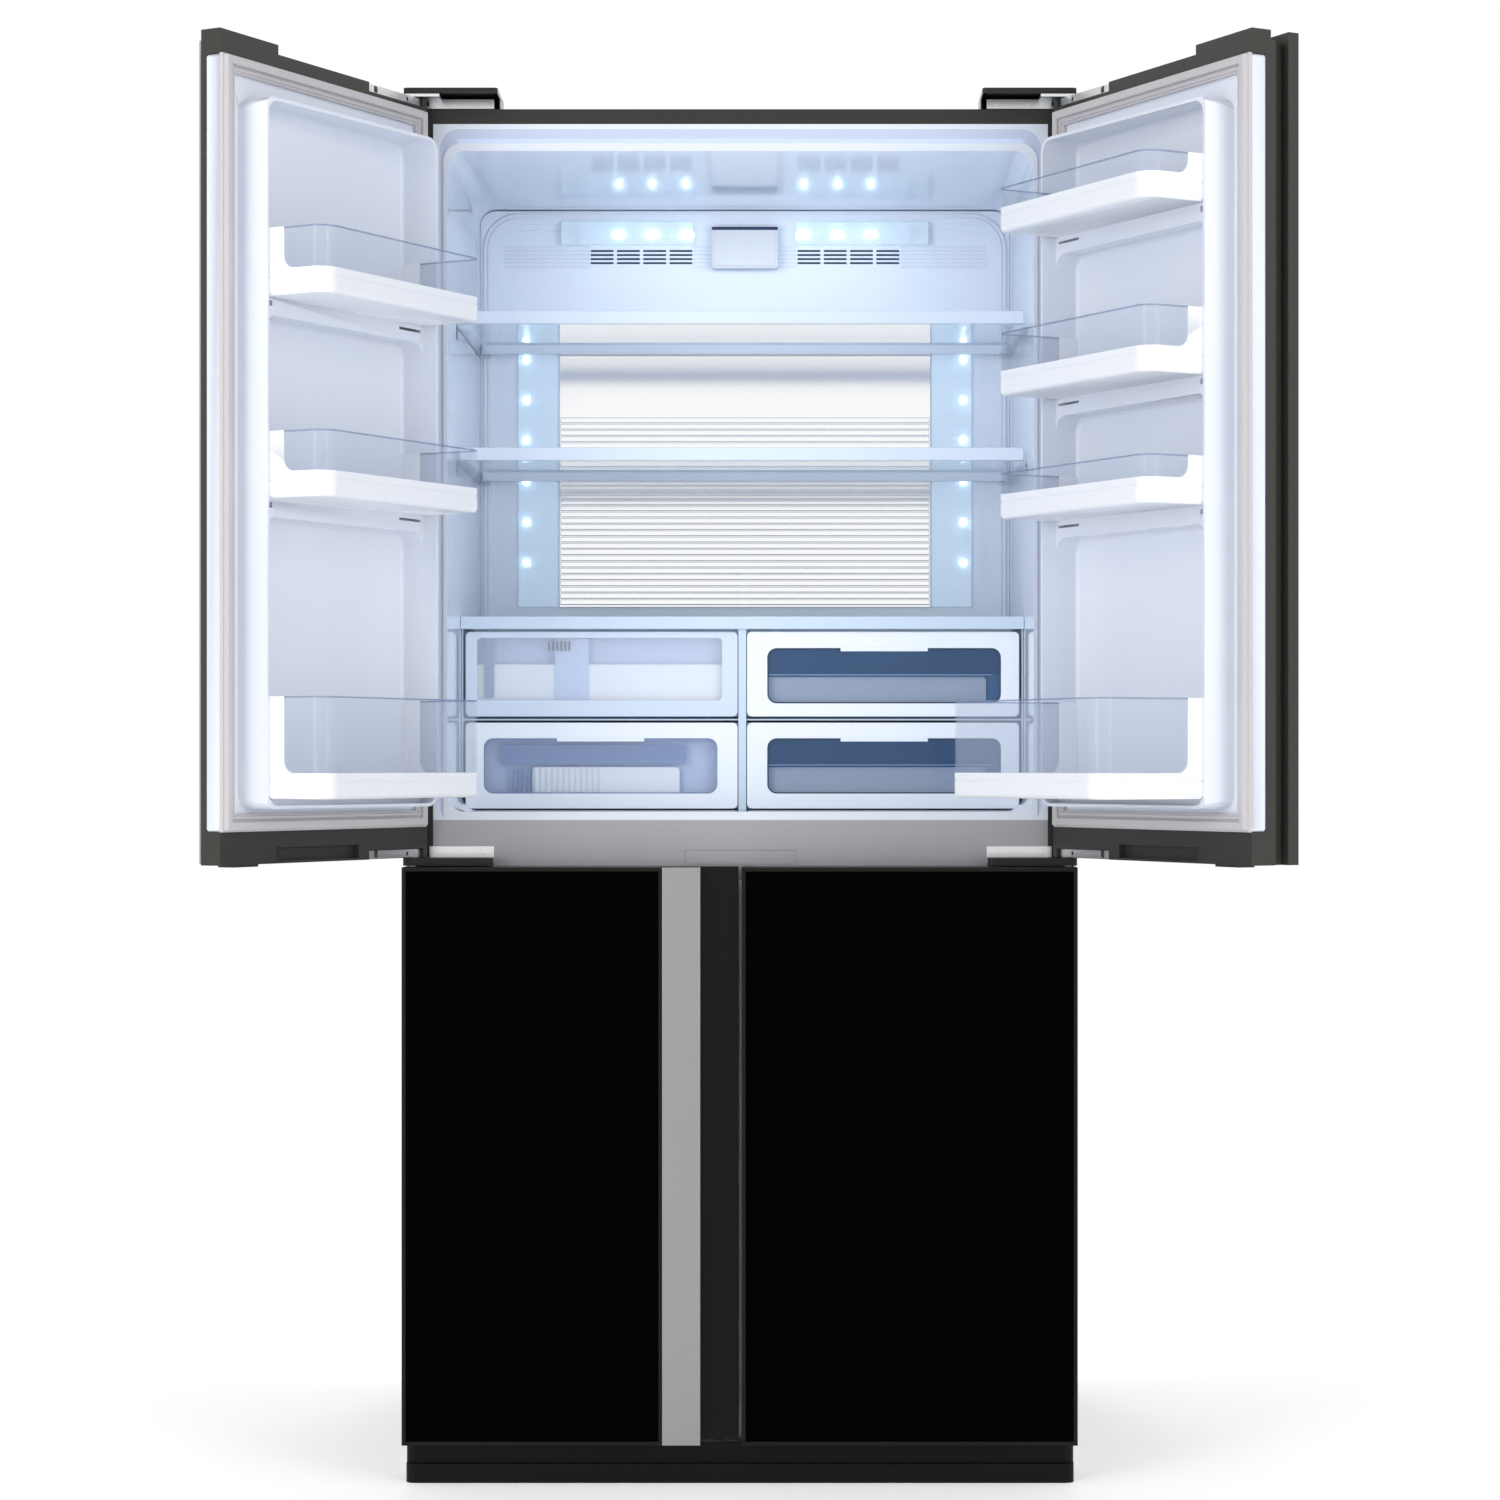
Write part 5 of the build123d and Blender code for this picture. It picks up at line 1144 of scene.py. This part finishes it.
for name, lamp in studio["lamps"].items():
    data = bpy.data.lights.new(name, "AREA")
    data.energy = lamp["power"]
    data.shape = "RECTANGLE"
    data.size, data.size_y = lamp["size"]
    data.color = lamp.get("color", (1, 1, 1))
    holder = bpy.data.objects.new(name, data)
    bpy.context.scene.collection.objects.link(holder)
    holder.location = lamp["at"]
    aim = Vector(lamp["aim"]) - Vector(lamp["at"])
    holder.rotation_euler = aim.to_track_quat("-Z", "Y").to_euler()
    if lamp.get("hidden"):
        holder.visible_camera = False
        holder.visible_glossy = False

pickNone()
bpy.ops.mesh.primitive_plane_add(size=60, location=(0, 0, 0))
floor = bpy.context.object
floor.name = "studioFloor"
applyPlace(floor)
floorPaint = newMaterial("floorPaintWhite", "#FFFFFF", Roughness=1.0, Specular_IOR_Level=0.0)
tree = floorPaint.node_tree
shader = tree.nodes["Principled BSDF"]
shader.inputs["Emission Color"].default_value = (1, 1, 1, 1)
shader.inputs["Emission Strength"].default_value = studio["floorGlow"]
# Far from the object the floor turns to the white of the background, as the camera and gloss see it
place = addNode(tree, "ShaderNodeTexCoord")
reach = addNode(tree, "ShaderNodeVectorMath", {"operation": "LENGTH"}, {0: place.outputs["Object"]})
far = addNode(
    tree, "ShaderNodeMapRange", {"From Min": studio["floorNear"], "From Max": studio["floorFar"]},
    {"Value": reach.outputs["Value"]}
)
share = addNode(tree, "ShaderNodeMath", {"operation": "MULTIPLY"}, {0: far.outputs["Result"], 1: addSeenMask(tree)})
white = addNode(tree, "ShaderNodeEmission", {"Color": (1, 1, 1, 1), "Strength": 1.0})
mix = addNode(
    tree, "ShaderNodeMixShader", None, {0: share.outputs[0], 1: shader.outputs["BSDF"], 2: white.outputs["Emission"]}
)
tree.links.new(mix.outputs["Shader"], tree.nodes["Material Output"].inputs["Surface"])
dress(floor, floorPaint)

# Camera fitted to the photo's straight edges
cameraData = bpy.data.cameras.new("photoCamera")
cameraData.sensor_width = 36
cameraData.lens = 81.94
cameraData.shift_x = -0.0244
cameraData.shift_y = 0.0097
camera = bpy.data.objects.new("photoCamera", cameraData)
bpy.context.scene.collection.objects.link(camera)
camera.location = (0.0618, -4.5761, 0.9515)
camera.rotation_euler = (math.radians(90), 0, 0)
bpy.context.scene.camera = camera
bpy.context.scene.view_settings.view_transform = "Standard"
print("stage: studio made")
